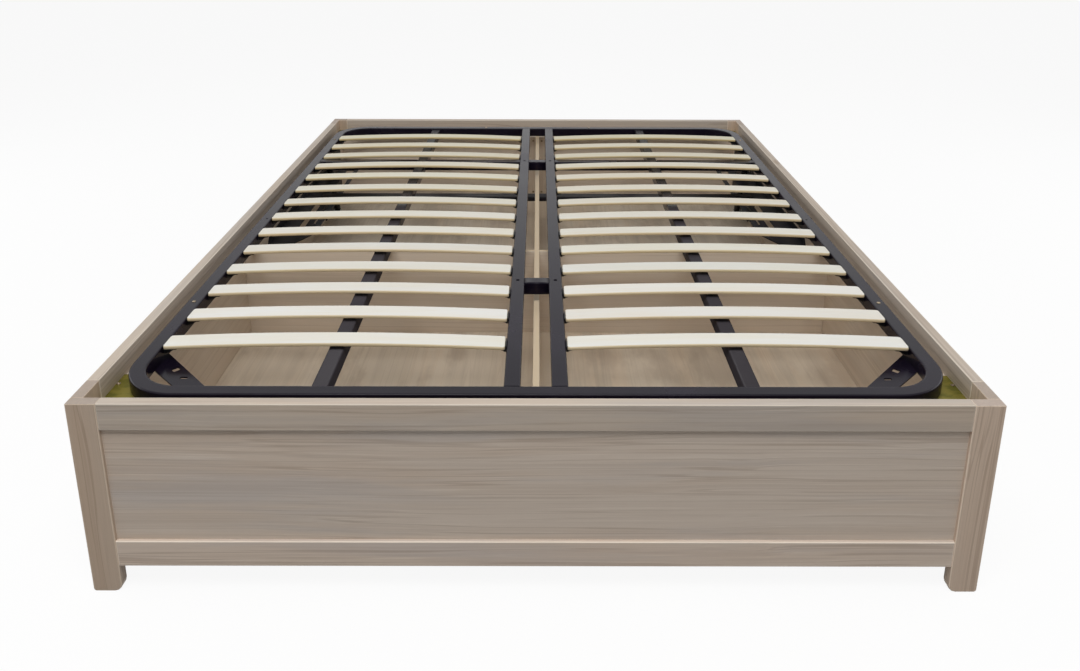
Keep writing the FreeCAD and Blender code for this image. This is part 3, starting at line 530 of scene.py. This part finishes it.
def singled(shape, tint):
    # a board's own place in the wood and its own tint, the same at every point of it
    count = len(shape["points"])
    own = np.array(tint) + dice.uniform(-boards["spread"], boards["spread"])
    shape["shift"] = np.tile(dice.uniform(0, 9, 3), (count, 1))
    shape["tint"] = np.tile(own, (count, 1))
    return shape


def board(across, up, deep, axes, tint="plainTint", radii=None, ease=None):
    # a rectangular board. across and up are its outline's two ranges and deep its thickness
    edge = boards["ease"] if ease is None else ease
    corners = edge if radii is None else radii
    return singled(plateShape(rectangle(across, up), corners, *deep, edge, axes), boards[tint])


def sawn(shape, top):
    # end marks the bare upper edge of a board
    shape["end"] = (shape["points"][:, 2] > top - 0.3 * mm).astype(float)
    return shape


def spanOf(node, axis):
    low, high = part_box(node)
    return low[axis], high[axis]


def opposite(span):
    return -span[1], -span[0]


stileLow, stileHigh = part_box("foot_stile_left")
railLow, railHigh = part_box("foot_top_rail")
railUp, sillUp = (railLow.z, railHigh.z), spanOf("foot_bottom_rail", 2)
footFace, sideFace = (stileLow.y, stileHigh.y), spanOf("left_top_rail", 0)
sideHalf = spanOf("left_bottom_rail", 1)[1] - boards["tongue"]
endHalf = railHigh.x - boards["tongue"]
outerRound, innerRound = 5 * mm, 14 * mm  # how a leg's foot is rounded on its two sides
inBox = ("bed_box", "washed_pine")


def stile(across, deep, axes, rounds):
    # a post from the ground to the rim, rounded at its foot on both sides
    radii = [rounds[0], rounds[1], boards["ease"], boards["ease"]]
    tint = "rightStileTint" if axes == "xzy" and across[0] > 0 else "stileTint"
    return sawn(board(across, (stileLow.z, stileHigh.z), deep, axes, tint, radii), stileHigh.z)


def frameWall(prefix, half, deep, panelDeep, axes):
    # both rails and the panel between them of one wall
    span = (-half, half)
    butt = boards["butt"] * 2
    rails = (
        ("TopRail", "_top_rail", railUp, "railTint"),
        ("BottomRail", "_bottom_rail", sillUp, "sillTint"),
    )
    for tail, node, up, tint in rails:
        plank = board(span, up, deep, axes, tint, butt)
        makePiece(prefix + tail, plank, wood[axes[0]], *inBox, [prefix + node])
    panelUp = spanOf(prefix + "_panel", 2)
    panel = board(span, panelUp, panelDeep, axes, "panelTint", ease=boards["panelEase"])
    makePiece(prefix + "Panel", panel, wood[axes[0]], *inBox, [prefix + "_panel"])


panelFoot, panelSide = spanOf("foot_panel", 1), spanOf("left_panel", 0)
endWalls = (("foot", footFace, panelFoot), ("head", opposite(footFace), opposite(panelFoot)))
for prefix, deep, panelDeep in endWalls:
    frameWall(prefix, endHalf, deep, panelDeep, "xzy")
    posts = (
        ("StileLeft", "_stile_left", (stileLow.x, stileHigh.x), (outerRound, innerRound)),
        ("StileRight", "_stile_right", (-stileHigh.x, -stileLow.x), (innerRound, outerRound)),
    )
    for tail, node, across, rounds in posts:
        post = stile(across, deep, "xzy", rounds)
        makePiece(prefix + tail, post, wood["z"], *inBox, [prefix + node])
frameWall("left", sideHalf, sideFace, panelSide, "yzx")
frameWall("right", sideHalf, opposite(sideFace), opposite(panelSide), "yzx")

sideEnd = spanOf("side_stiles", 1)[1]
sidePosts = []
for deep in (sideFace, opposite(sideFace)):
    sidePosts.append(stile((-sideEnd, -sideHalf), deep, "yzx", (boards["ease"], innerRound)))
    sidePosts.append(stile((sideHalf, sideEnd), deep, "yzx", (innerRound, boards["ease"])))
makePiece("sideStiles", joinShapes(sidePosts), wood["z"], *inBox, ["side_stiles"])
print("walls ready")

# Inside the box.

insideX, insideY = -sideFace[1], -footFace[1]
linerThick = 9 * mm
linerUp = spanOf("wall_liners", 2)
thin = boards["linerEase"]
asLiner, asFloor = ("bed_box", "inner_pine"), ("bed_box", "floor_ply")
linerHalf = insideX - linerThick
sideLiners, endLiners = [], []
for sign in (-1, 1):
    x = sorted((sign * insideX, sign * (insideX - linerThick)))
    y = sorted((sign * insideY, sign * (insideY - linerThick)))
    sideLiners.append(board((-insideY, insideY), linerUp, x, "yzx", ease=thin))
    endLiners.append(board((-linerHalf, linerHalf), linerUp, y, "xzy", ease=thin))
makePiece("sideLiners", joinShapes(sideLiners), innerLitWood["y"], *asLiner, ["wall_liners"])
makePiece("endLiners", joinShapes(endLiners), innerLitWood["x"], *asLiner, ["wall_liners"])

floorUp = spanOf("floor_panels", 2)
floors = [
    board(span, (-insideY, insideY), floorUp, "xyz", ease=boards["panelEase"])
    for span in ((-insideX, 0), (0, insideX))
]
makePiece("floorPanels", joinShapes(floors), floorLitWood, *asFloor, ["floor_panels"])

dividerUp = spanOf("centre_divider", 2)
crossX, crossY = spanOf("cross_divider", 0), spanOf("cross_divider", 1)
centreX, centreY = spanOf("centre_divider", 0), spanOf("centre_divider", 1)
crossHalves = [
    sawn(board(span, dividerUp, crossY, "xzy", ease=thin), dividerUp[1])
    for span in ((crossX[0], centreX[0]), (centreX[1], crossX[1]))
]
makePiece("crossDivider", joinShapes(crossHalves), innerLitWood["x"], *asFloor, ["cross_divider"])

braceLow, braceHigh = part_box("cross_brace")
windowGap = 1 * mm  # round the brace, where it passes the centre divider
windowY = (braceLow.y - windowGap, braceHigh.y + windowGap)
windowZ = (braceLow.z - windowGap, braceHigh.z + windowGap)
centreParts = [
    sawn(board(along, up, centreX, "yzx", ease=thin), dividerUp[1])
    for along, up in (
        ((centreY[0], windowY[0]), dividerUp),
        ((windowY[1], centreY[1]), dividerUp),
        (windowY, (dividerUp[0], windowZ[0])),
        (windowY, (windowZ[1], dividerUp[1])),
    )
]
makePiece("centreDivider", joinShapes(centreParts), innerLitWood["y"], *asFloor, ["centre_divider"])

cleatX, cleatY = spanOf("divider_cleats", 0)[1], spanOf("divider_cleats", 1)[1]
cleatSize = cleatX - centreX[1]
cleats = [
    board(
        sorted((sideways * centreX[1], sideways * cleatX)),
        sorted((end * cleatY, end * (cleatY - cleatSize))),
        dividerUp,
        "xyz",
        ease=thin,
    )
    for sideways in (-1, 1)
    for end in (-1, 1)
]
makePiece("dividerCleats", joinShapes(cleats), innerLitWood["z"], *asLiner, ["divider_cleats"])
print("inside ready")

# The platform's tubes.

tubes = {"corner": 3.2 * mm, "cornerSteps": 5, "bendSteps": 22, "beside": 2 * mm}
rimLow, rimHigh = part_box("side_tube_left")
footLow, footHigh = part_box("foot_tube")
headLow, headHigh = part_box("head_tube")
tube = rimHigh.x - rimLow.x
bendRound = rimLow.y - footLow.y


def tubeSection(width, height):
    outline = rectangle((-width / 2, width / 2), (-height / 2, height / 2))
    return roundedOutline(outline, tubes["corner"], tubes["cornerSteps"])[0]


def rimShape():
    # the section carried round a rounded rectangle: outwards is its first way and down its second
    across = (rimLow.x + tube / 2, -rimLow.x - tube / 2)
    along = (footLow.y + tube / 2, headHigh.y - tube / 2)
    line, bend = rectangle(across, along), bendRound - tube / 2
    path, inward = roundedOutline(line, bend, tubes["bendSteps"], tubes["beside"])[:2]
    section = tubeSection(tube, tube)
    flat = path[:, None, :] - inward[:, None, :] * section[None, :, :1]
    level = (rimLow.z + rimHigh.z) / 2 - section[None, :, 1:]
    level = np.broadcast_to(level, flat.shape[:2] + (1,))
    return sweptShape(np.concatenate([flat, level], axis=-1), closedRows=True)


def straightTube(low, high, axis):
    # a rounded section between two levels of one axis, which is the row direction
    way = "xyz".index(axis)
    first, second = (way + 1) % 3, (way + 2) % 3
    section = tubeSection(high[first] - low[first], high[second] - low[second])
    rings = np.zeros((2, len(section), 3))
    rings[..., first] = section[None, :, 0] + (low[first] + high[first]) / 2
    rings[..., second] = section[None, :, 1] + (low[second] + high[second]) / 2
    rings[..., way] = np.array([low[way], high[way]])[:, None]
    return sweptShape(rings)


holes = {
    "bolt": 4.5 * mm,
    "small": 3 * mm,
    "smallY": -91 * mm,
    "smallShare": 0.6,
    "deep": 12 * mm,
    "over": 2 * mm,
}


def bored(piece, spots, radius):
    # cuts upright holes through the top wall and keeps the cut as the piece's mesh
    low, high = rimHigh.z - holes["deep"], rimHigh.z + holes["over"]
    bore = [(low, radius), (high, radius)]
    drill = joinShapes([lathed(bore, (*spot, 0), (0, 0, 1)) for spot in spots])
    cutter = bpy.data.meshes.new("drill")
    cutter.from_pydata(drill["points"], [], drill["faces"])
    tool = placed("drill", cutter)
    modifier = piece.modifiers.new("drill", "BOOLEAN")
    modifier.object = tool
    modifier.solver = "EXACT"
    bpy.context.view_layer.update()
    shaped = piece.evaluated_get(bpy.context.evaluated_depsgraph_get())
    made = bpy.data.meshes.new_from_object(shaped)
    piece.modifiers.clear()
    piece.data = made
    bpy.data.objects.remove(tool)
    sharpen(made, 50)


tieY = (spanOf("beam_ties", 1)[0] + tube / 2, spanOf("beam_ties", 1)[1] - tube / 2)
onPlatform = ("platform", "platform_steel")

rimNodes = ["side_tube_left", "side_tube_right", "foot_tube", "head_tube", "corner_bends"]
rim = makePiece("platformRim", rimShape(), steel, *onPlatform, rimNodes)
smallX = rimLow.x + tube * holes["smallShare"]
bored(rim, [(smallX, holes["smallY"]), (-smallX, holes["smallY"])], holes["small"])

beamLow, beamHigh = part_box("centre_beams")
barLow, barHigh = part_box("slat_bearers")
beam = straightTube(beamLow, (beamLow.x + tube, beamHigh.y, beamHigh.z), "y")
beams = makePiece("centreBeams", bothSides([beam]), steel, *onPlatform, ["centre_beams"])
beamMiddle = beamLow.x + tube / 2
bored(beams, [(sign * beamMiddle, y) for sign in (-1, 1) for y in tieY], holes["bolt"])

bar = straightTube(barLow, (barLow.x + tube, barHigh.y, barHigh.z), "y")
makePiece("slatBearers", bothSides([bar]), bearerSheenSteel, *onPlatform, ["slat_bearers"])


def crossTube(x, y):
    return straightTube((x[0], y - tube / 2, rimLow.z), (x[1], y + tube / 2, rimHigh.z), "x")


beamIn, beamOut, barIn, barOut = beamLow.x + tube, beamLow.x, barLow.x + tube, barLow.x
shortTies = [crossTube((beamIn, -beamIn), y) for y in tieY]
longTies = [crossTube((barIn, beamOut), tieY[1]), crossTube((rimHigh.x, barOut), tieY[1])]
ties = joinShapes([*shortTies, bothSides(longTies)])
makePiece("beamTies", ties, steel, *onPlatform, ["beam_ties"])

brace = straightTube(braceLow, braceHigh, "x")
makePiece("crossBrace", brace, liftSteel, "bed_box", "lift_steel", ["cross_brace"])

welds = {
    "radius": 2.4 * mm,
    "ripple": 0.3 * mm,
    "pitch": 3.6 * mm,
    "inset": 2 * mm,
    "rows": 17,
    "sides": 6,
}


def weldBead(x, y, low, high):
    # an upright bead in the corner of two tubes: its radius ripples, r + a cos(2 pi s / p), and
    # closes at both ends
    s = np.linspace(0, high - low, welds["rows"])
    share = 2 * s / (high - low) - 1
    radius = welds["radius"] + welds["ripple"] * np.cos(2 * math.pi * s / welds["pitch"])
    profile = np.column_stack([s + low, radius * np.sqrt(1.02 - share**6)])
    return lathed(profile, (x, y, 0), (0, 0, 1), welds["sides"])


rimInFoot, rimInHead = footHigh.y, headLow.y
tieSides = (tieY[1] - tube / 2, tieY[1] + tube / 2)
weldSpots = [(x, y) for x in (beamIn, beamOut, barIn, barOut) for y in (rimInFoot, rimInHead)]
weldSpots += [(x, y) for x in (beamIn, beamOut, barIn, barOut, rimHigh.x) for y in tieSides]
weldSpots += [(beamIn, tieY[0] + side * tube / 2) for side in (-1, 1)]
weldUp = (rimLow.z + welds["inset"], rimHigh.z - welds["inset"])
beads = [weldBead(x, y, *weldUp) for x, y in weldSpots]
makePiece("weldBeads", bothSides(beads), steel, *onPlatform)
print("tubes ready")

# Slats and their holders.

slatForm = {
    "round": 3 * mm,
    "endRound": 4.5 * mm,
    "steps": 28,
    "endSteps": 4,
    "rise": 8 * mm,
    "beamGap": 3 * mm,
    "tint": 0.008,
    "tintWays": (0.4, 0.6, 1),
    # towards the head the slats darken and yellow, painted shade for the light falling off
    "headTint": (-0.13, -0.18, -0.33),
    "headCurve": 1.3,
}


def slatShape(low, high, share):
    # a rounded strip, bowed as a parabola from end to end. Near an end each side moves in by a
    # quarter circle's depth. share is the row's way to the head, where the tint darkens and yellows
    # as painted shade, the light's falloff
    thick = high.z - low.z - slatForm["rise"]
    radius = slatForm["endRound"]
    reach = np.linspace(0, 1, slatForm["endSteps"] + 1) ** 2 * radius
    inside = np.linspace(low.x, high.x, slatForm["steps"])[1:-1]
    along = np.concatenate([low.x + reach, inside, high.x - reach[::-1]])
    short = np.clip(radius - np.minimum(along - low.x, high.x - along), 0, radius)
    tuck = radius - np.sqrt(radius**2 - short**2)
    middle, half = (low.x + high.x) / 2, (high.x - low.x) / 2
    bow = slatForm["rise"] * (1 - ((along - middle) / half) ** 2)
    wide = high.y - low.y
    outline = rectangle((-wide / 2, wide / 2), (-thick / 2, thick / 2))
    section, normals = roundedOutline(outline, slatForm["round"], 4)[:2]
    rings = np.zeros((len(along), len(section), 3))
    rings[..., 0] = along[:, None]
    beside = section[None, :, 0]
    rings[..., 1] = (low.y + high.y) / 2 + beside - np.sign(beside) * tuck[:, None]
    rings[..., 2] = low.z + thick / 2 + bow[:, None] + section[None, :, 1]
    shape = sweptShape(rings)
    # the plies follow the bow, so their level is measured from the slat's own middle
    shape["level"] = np.tile(section[:, 1], len(along))
    facing = np.abs(normals[:, 0]) > 0.6
    ends = np.arange(len(along))[:, None] % (len(along) - 1) == 0
    shape["side"] = np.maximum(facing[None, :], ends).astype(float).reshape(-1)
    own = dice.normal(0, slatForm["tint"], 3) * slatForm["tintWays"]
    return singled(shape, own + share * np.array(slatForm["headTint"]))


slatNodes = sorted(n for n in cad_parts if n.startswith("slat_pair_"))
rowMiddles = []
slatInner = beamLow.x - slatForm["beamGap"]
for number, node in enumerate(slatNodes, start=1):
    low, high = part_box(node)
    rowMiddles.append((low.y + high.y) / 2)
    share = ((number - 1) / (len(slatNodes) - 1)) ** slatForm["headCurve"]
    left = slatShape(low, Vector((slatInner, high.y, high.z)), share)
    right = slatShape(Vector((-slatInner, low.y, low.z)), high, share)
    pair = joinShapes([left, right])
    makePiece("slatPair%02d" % number, pair, slatWood, "platform", "birch_slat", [node])

holderForm = {
    "reach": 26 * mm,
    "half": 17 * mm,
    "plate": 3 * mm,
    "back": 2 * mm,
    "ribDeep": 9 * mm,
    "ribShare": 0.75,
    "ribThick": 2.4 * mm,
    "corner": 3 * mm,
    "backCorner": 0.3 * mm,
    "ribReach": 0.85,
    "beamShare": 0.45,
}


def blockShape(x, y, z):
    # a small box with six faces; its lower outer edge may lean in, where x gives a third number
    lowX = (x[0], x[2]) if len(x) > 2 else x
    corner = [
        (a, b, c)
        for c, ends in zip(z, (lowX, x))
        for a, b in ((ends[0], y[0]), (ends[1], y[0]), (ends[1], y[1]), (ends[0], y[1]))
    ]
    return sweptShape(np.array(corner).reshape(2, 4, 3))


def holderShape(against, row, low, high, share):
    # a seat under the slat's end with rounded front corners, a back against the tube and three ribs
    # below. share is how far its seat and ribs reach, of the full size
    half, corner, backCorner = [holderForm[key] for key in ("half", "corner", "backCorner")]
    reach, ribDeep = holderForm["reach"] * share, holderForm["ribDeep"] * share
    wide = (row - half, row + half)
    top = low + holderForm["plate"]
    radii = [backCorner, corner, corner, backCorner]
    outline = roundedOutline(rectangle((against, against + reach), wide), radii, 2, 0)[0]
    rings = [np.column_stack([outline, np.full(len(outline), level)]) for level in (low, top)]
    back = blockShape((against, against + holderForm["back"]), wide, (top, high))
    parts = [sweptShape(np.stack(rings)), back]
    ribX = (against, against + reach * holderForm["ribReach"], against + holderForm["back"] * 2)
    for place in (-1, 0, 1):
        y = row + place * half * holderForm["ribShare"]
        rib = (y - holderForm["ribThick"] / 2, y + holderForm["ribThick"] / 2)
        parts.append(blockShape(ribX, rib, (low - ribDeep, low)))
    return joinShapes(parts)


capLow, capHigh = spanOf("slat_holders", 2)
caps = []
for row in rowMiddles:
    caps.append(holderShape(rimHigh.x, row, capLow, capHigh, 1.0))
    caps.append(holderShape(-beamLow.x, row, capLow, capHigh, holderForm["beamShare"]))
onTubes = ("platform", "holder_plastic")
holders = makePiece("slatHolders", bothSides(caps), capPlastic, *onTubes, ["slat_holders"])
sharpen(holders.data)
print("slats ready")

# Screws, pins and struts.

screws = {
    "radius": 4 * mm,
    "high": 1.6 * mm,
    "armHalf": 0.13,
    "armReach": 0.62,
    "armDeep": 0.6,
    "sides": 20,
}


def screwHead(centre, toward):
    # a dome over a grid of rings, with a cross sunk into it: near is how far a point is from the
    # nearer arm's middle line, and the sinking fades at the arm's flanks and at its end
    ringAt = np.array([1, 1, 0.97, 0.88, 0.75, 0.66, 0.56, 0.46, 0.34, 0.22, 0.1])
    domed = np.array([0, 0.45, 0.64, 0.82, 0.92, 0.95, 0.98, 1, 1, 1, 1])
    angle = np.linspace(0, 2 * math.pi, screws["sides"], endpoint=False)
    x, y = ringAt[:, None] * np.cos(angle), ringAt[:, None] * np.sin(angle)
    near = np.minimum(np.abs(x), np.abs(y))
    flank = np.clip(1.4 - near / screws["armHalf"], 0, 1)
    arm = flank * np.clip((screws["armReach"] - ringAt[:, None]) / 0.08, 0, 1)
    level = screws["high"] * (domed[:, None] - screws["armDeep"] * arm)
    rings = np.stack([x * screws["radius"], y * screws["radius"], level], axis=-1)
    return turned(sweptShape(rings), centre, toward)


# how far the plates' screws stand from the walls, and the cleats' from the divider's two edges
screwSpots = {
    "near": 45 * mm,
    "far": 115 * mm,
    "head": 30 * mm,
    "across": 60 * mm,
    "cleatLow": 10 * mm,
    "cleatHigh": 15 * mm,
}
plateTop = spanOf("corner_plates", 2)[1]
linerX, linerY = insideX - linerThick / 2, insideY - linerThick / 2
plateY = (screwSpots["near"] - insideY, screwSpots["far"] - insideY, insideY - screwSpots["head"])
boxHeads = [screwHead((linerX, y, plateTop), (0, 0, 1)) for y in plateY]
boxHeads.append(screwHead((insideX - screwSpots["across"], -linerY, plateTop), (0, 0, 1)))
for z in (dividerUp[0] + screwSpots["cleatLow"], dividerUp[1] - screwSpots["cleatHigh"]):
    boxHeads.append(screwHead((centreX[1] + cleatSize / 2, cleatY - cleatSize, z), (0, -1, 0)))
basePlate = {
    "outer": 769 * mm,
    "thick": 3 * mm,
    "screwLevel": 273 * mm,
    "screwY": (60 * mm, 315 * mm, 458 * mm, 700 * mm),
}
baseFace = basePlate["outer"] - basePlate["thick"]
for y in basePlate["screwY"]:
    boxHeads.append(screwHead((baseFace, y, basePlate["screwLevel"]), (-1, 0, 0)))
makePiece("boxScrews", bothSides(boxHeads), screwZinc, "bed_box", "zinc_plate", ["box_screws"])

rimScrews = {"footY": -621 * mm, "headY": 765 * mm, "headX": 197 * mm}
rimMiddle = rimLow.x + tube / 2
rimSpots = [(rimMiddle, rimScrews["footY"]), (rimMiddle, rimScrews["headY"])]
rimSpots.append((-rimScrews["headX"], headHigh.y - tube / 2))
platformHeads = [screwHead((x, y, rimHigh.z), (0, 0, 1)) for x, y in rimSpots]

strut = {
    "x": 737 * mm,
    "radius": 11 * mm,
    "neck": 7 * mm,
    "tubeFrom": 17 * mm,
    "tubeEnd": 214 * mm,
    "crimp": 198 * mm,
    "bore": 9.5 * mm,
    "seal": 4 * mm,
    "rod": 5 * mm,
    "rodLong": 222 * mm,
    "lowerEye": 12 * mm,
    "lowerHalf": 9 * mm,
    "upperEye": 9 * mm,
    "upperHalf": 8 * mm,
}
hinge = {"y": 940 * mm, "z": 328 * mm, "reach": 300 * mm, "spread": math.radians(48.4)}
pins = {
    "hinge": 6 * mm,
    "strut": 5 * mm,
    "stud": 4 * mm,
    "flange": 4 * mm,
    "head": 3.5 * mm,
    "gap": 0.5 * mm,
    "plate": 3 * mm,
    "eyeGap": 0.05 * mm,
}
lowerPivot = Vector((
    strut["x"],
    hinge["y"] - hinge["reach"] * math.cos(hinge["spread"]),
    hinge["z"] - hinge["reach"] * math.sin(hinge["spread"]),
))
upperPivot = Vector((strut["x"], hinge["y"] - hinge["reach"], hinge["z"]))
strutWay = (upperPivot - lowerPivot).normalized()


def pinShape(centre, radius, face, outer, inward):
    # a shaft from a plate's face through what it carries, with a collar before it and a domed head
    wide = radius + pins["flange"]
    tip = inward - pins["gap"] - pins["head"]
    profile = [
        (face, wide),
        (outer + pins["gap"], wide),
        (outer + pins["gap"], radius),
        (inward - pins["gap"], radius),
        (inward - pins["gap"], wide * 0.94),
        (inward - pins["gap"] - 0.8 * mm, wide),
        (tip + 0.9 * mm, wide * 0.9),
        (tip + 0.3 * mm, wide * 0.6),
        (tip, wide * 0.25),
    ]
    return lathed([(-x, r) for x, r in profile], (0, centre[0], centre[1]), (-1, 0, 0))


def eyePin(pivot, radius, face, half):
    # the pin of a strut's eye, which is as thick as twice half
    return pinShape((pivot.y, pivot.z), radius, face, strut["x"] + half, strut["x"] - half)


def eyeShape(centre, radius, half, hole):
    # a ring round an axis along X: an eased section carried round the circle
    section = roundedOutline(rectangle((hole, radius), (-half, half)), 1 * mm)[0]
    angle = -np.linspace(0, 2 * math.pi, 28, endpoint=False)[:, None]
    rings = np.zeros((len(angle), len(section), 3))
    rings[..., 0] = centre[0] + section[None, :, 1]
    rings[..., 1] = centre[1] + section[None, :, 0] * np.cos(angle)
    rings[..., 2] = centre[2] + section[None, :, 0] * np.sin(angle)
    return sweptShape(rings, closedRows=True)


def cylinderShape():
    # a lathed cup: the outer wall with a rolled shoulder and a crimp, the lip, and the bore
    r, bottom, top, crimp = strut["radius"], strut["tubeFrom"], strut["tubeEnd"], strut["crimp"]
    lip = strut["rod"] + 0.3 * mm
    profile = [
        (strut["lowerEye"] - 2 * mm, strut["neck"]),
        (bottom - 2 * mm, strut["neck"]),
        (bottom - 1 * mm, r - 2.5 * mm),
        (bottom + 0.5 * mm, r - 0.8 * mm),
        (bottom + 2.5 * mm, r),
        (crimp - 2.2 * mm, r),
        (crimp - 0.8 * mm, r - 0.9 * mm),
        (crimp + 0.8 * mm, r - 0.9 * mm),
        (crimp + 2.2 * mm, r),
        (top - 2.2 * mm, r),
        (top - 0.7 * mm, r - 0.8 * mm),
        (top, r - 2.4 * mm),
        (top, lip),
        (top - strut["seal"], lip),
        (top - strut["seal"], strut["bore"]),
        (bottom + 5 * mm, strut["bore"]),
    ]
    hole = pins["strut"] + pins["eyeGap"]
    eye = eyeShape(lowerPivot, strut["lowerEye"], strut["lowerHalf"], hole)
    return joinShapes([lathed(profile, lowerPivot, strutWay), eye])


def rodShape():
    # a polished rod from its piston to its eye
    far = strut["rodLong"]
    profile = [
        (far, strut["bore"] - 0.3 * mm),
        (far - 8 * mm, strut["bore"] - 0.3 * mm),
        (far - 8 * mm, strut["rod"]),
        (strut["upperEye"] + 6 * mm, strut["rod"]),
        (strut["upperEye"] + 5 * mm, strut["rod"] + 1.5 * mm),
        (strut["upperEye"] - 2 * mm, strut["rod"] + 1.5 * mm),
    ]
    hole = pins["stud"] + pins["eyeGap"]
    eye = eyeShape(upperPivot, strut["upperEye"], strut["upperHalf"], hole)
    rod = lathed([(-distance, radius) for distance, radius in profile], upperPivot, strutWay)
    return joinShapes([rod, eye])


strutParts = (
    ("strutCylinder", cylinderShape(), strutPaint, "strut_cylinders", "strut_paint"),
    ("strutRod", rodShape(), chrome, "strut_rods", "strut_chrome"),
)
for side in ("left", "right"):
    for name, shape, finish, body, slot in strutParts:
        sided = mirrored(shape, 0) if side == "left" else shape
        node = body[:-1] + "_" + side  # such as strut_rod_left in the body strut_rods
        part = makePiece(name + side.capitalize(), sided, finish, body, slot, [node])
        sharpen(part.data)

barFace = -rimLow.x - pins["plate"]  # the inner face of the top bar's plate
hingePin = pinShape((hinge["y"], hinge["z"]), pins["hinge"], baseFace, -rimLow.x, barFace)
strutPin = eyePin(lowerPivot, pins["strut"], baseFace, strut["lowerHalf"])
bothPins = bothSides([hingePin, strutPin])
pivots = makePiece("pivotPins", bothPins, brightZinc, "bed_box", "pin_steel", ["pivot_pins"])
sharpen(pivots.data)
stud = eyePin(upperPivot, pins["stud"], barFace, strut["upperHalf"])
fasteners = bothSides(platformHeads + [mirrored(stud, 0)])
carried = ("platform", "zinc_plate")
makePiece("platformFasteners", fasteners, screwZinc, *carried, ["platform_fasteners"])
print("fittings ready")

# Finishes of the pieces that keep the construction's own shape.

ownShapes = {
    "floor_battens": innerLitWood["x"],
    "corner_plates": yellowZinc,
    "base_plate_left": liftSteel,
    "base_plate_right": liftSteel,
    "top_bar_left": liftSteel,
    "top_bar_right": liftSteel,
    "corner_gussets": steel,
}
for node, finish in ownShapes.items():
    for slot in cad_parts[node].material_slots:
        slot.material = finish

# Camera, floor and light.

view = {
    "place": (2.8 * mm, -2394 * mm, 1197.6 * mm),
    "pitch": 16.105,
    "yaw": 0.0659,
    "roll": -0.159,
    "lens": 29.833,
    "sensor": 36,
    "farthest": 60,
    "shiftX": 0.0002,
    "shiftY": -0.16,
}


def buildCamera():
    data = bpy.data.cameras.new("camera")
    data.lens = view["lens"]
    data.sensor_width = view["sensor"]
    data.shift_x = view["shiftX"]
    data.shift_y = view["shiftY"]
    data.clip_end = view["farthest"]
    camera = placed("camera", data)
    camera.location = view["place"]
    camera.rotation_mode = "XYZ"
    camera.rotation_euler = (
        math.radians(90 - view["pitch"]),
        math.radians(view["roll"]),
        -math.radians(view["yaw"]),
    )
    bpy.context.scene.camera = camera


studio = {
    "floorSize": 30.0,
    "floorShade": (156, 155, 154),
    "floorSeen": (255, 255, 255),
    "floorGlow": 0.92,
    "skyStrength": 0.25,
}
softboxes = {
    "overFoot": dict(place=(-0.2, -2.35, 3.5), aim=(0, -0.6, 0.3), size=(2.4, 1.4), watts=80),
    "overHead": dict(place=(-0.3, 2.7, 3.4), aim=(0, 0.8, 0.3), size=(3, 1.4), watts=18),
    "leftSide": dict(place=(-3.3, 0.3, 1.5), aim=(-0.8, 0, 0.2), size=(3, 1.6), watts=24),
    "rightSide": dict(place=(3.3, 0.3, 1.5), aim=(0.8, 0, 0.2), size=(3, 1.6), watts=24),
}
unmirrored = ("overHead",)  # its reflection would lie as a bright patch on the foot tube


def buildFloor():
    half = studio["floorSize"] / 2
    mesh = bpy.data.meshes.new("floor")
    corners = [(x, y, 0) for x, y in rectangle((-half, half), (-half, half))]
    mesh.from_pydata(corners, [], [(0, 1, 2, 3)])
    floor = placed("floor", mesh)
    made = Finish("paleFloor")
    path = made.add("ShaderNodeLightPath")
    seen = made.math("MAXIMUM", path.outputs["Is Camera Ray"], path.outputs["Is Glossy Ray"])
    seen = made.math("MAXIMUM", seen, path.outputs["Is Transmission Ray"])
    shade = made.mix(seen, tone(*studio["floorShade"]), tone(*studio["floorSeen"]))
    made.surface(shade, 0.9, 0.0)
    glow = made.add("ShaderNodeEmission", Strength=1.0)
    blend = made.add("ShaderNodeMixShader")
    made.feed(blend.inputs[0], made.math("MULTIPLY", seen, studio["floorGlow"]))
    made.links.new(made.shader.outputs[0], blend.inputs[1])
    made.links.new(glow.outputs[0], blend.inputs[2])
    made.links.new(blend.outputs[0], made.nodes["Material Output"].inputs["Surface"])
    mesh.materials.append(made.material)


def softbox(name, look):
    # a rectangular area lamp at a place, turned so that it shines at a point
    data = bpy.data.lights.new(name, "AREA")
    data.energy = look["watts"]
    data.shape = "RECTANGLE"
    data.size, data.size_y = look["size"]
    lamp = placed(name, data)
    lamp.location = look["place"]
    way = Vector(look["aim"]) - Vector(look["place"])
    lamp.rotation_euler = way.to_track_quat("-Z", "Y").to_euler()
    lamp.visible_camera = False
    lamp.visible_glossy = name not in unmirrored


def buildLight():
    world = bpy.data.worlds.new("studio")
    bpy.context.scene.world = world
    world.use_nodes = True
    nodes, links = world.node_tree.nodes, world.node_tree.links
    path = nodes.new("ShaderNodeLightPath")
    seen = path.outputs["Is Camera Ray"]
    for other in ("Is Glossy Ray", "Is Transmission Ray"):
        either = nodes.new("ShaderNodeMath")
        either.operation = "MAXIMUM"
        links.new(seen, either.inputs[0])
        links.new(path.outputs[other], either.inputs[1])
        seen = either.outputs[0]
    strength = nodes.new("ShaderNodeMapRange")
    strength.inputs["To Min"].default_value = studio["skyStrength"]
    strength.inputs["To Max"].default_value = 1.0
    links.new(seen, strength.inputs["Value"])
    links.new(strength.outputs[0], nodes["Background"].inputs["Strength"])
    nodes["Background"].inputs["Color"].default_value = (1, 1, 1, 1)
    for name, look in softboxes.items():
        softbox(name, look)
    bpy.context.scene.view_settings.view_transform = "Standard"


buildCamera()
buildFloor()
buildLight()

bpy.context.view_layer.update()
print("scene ready")
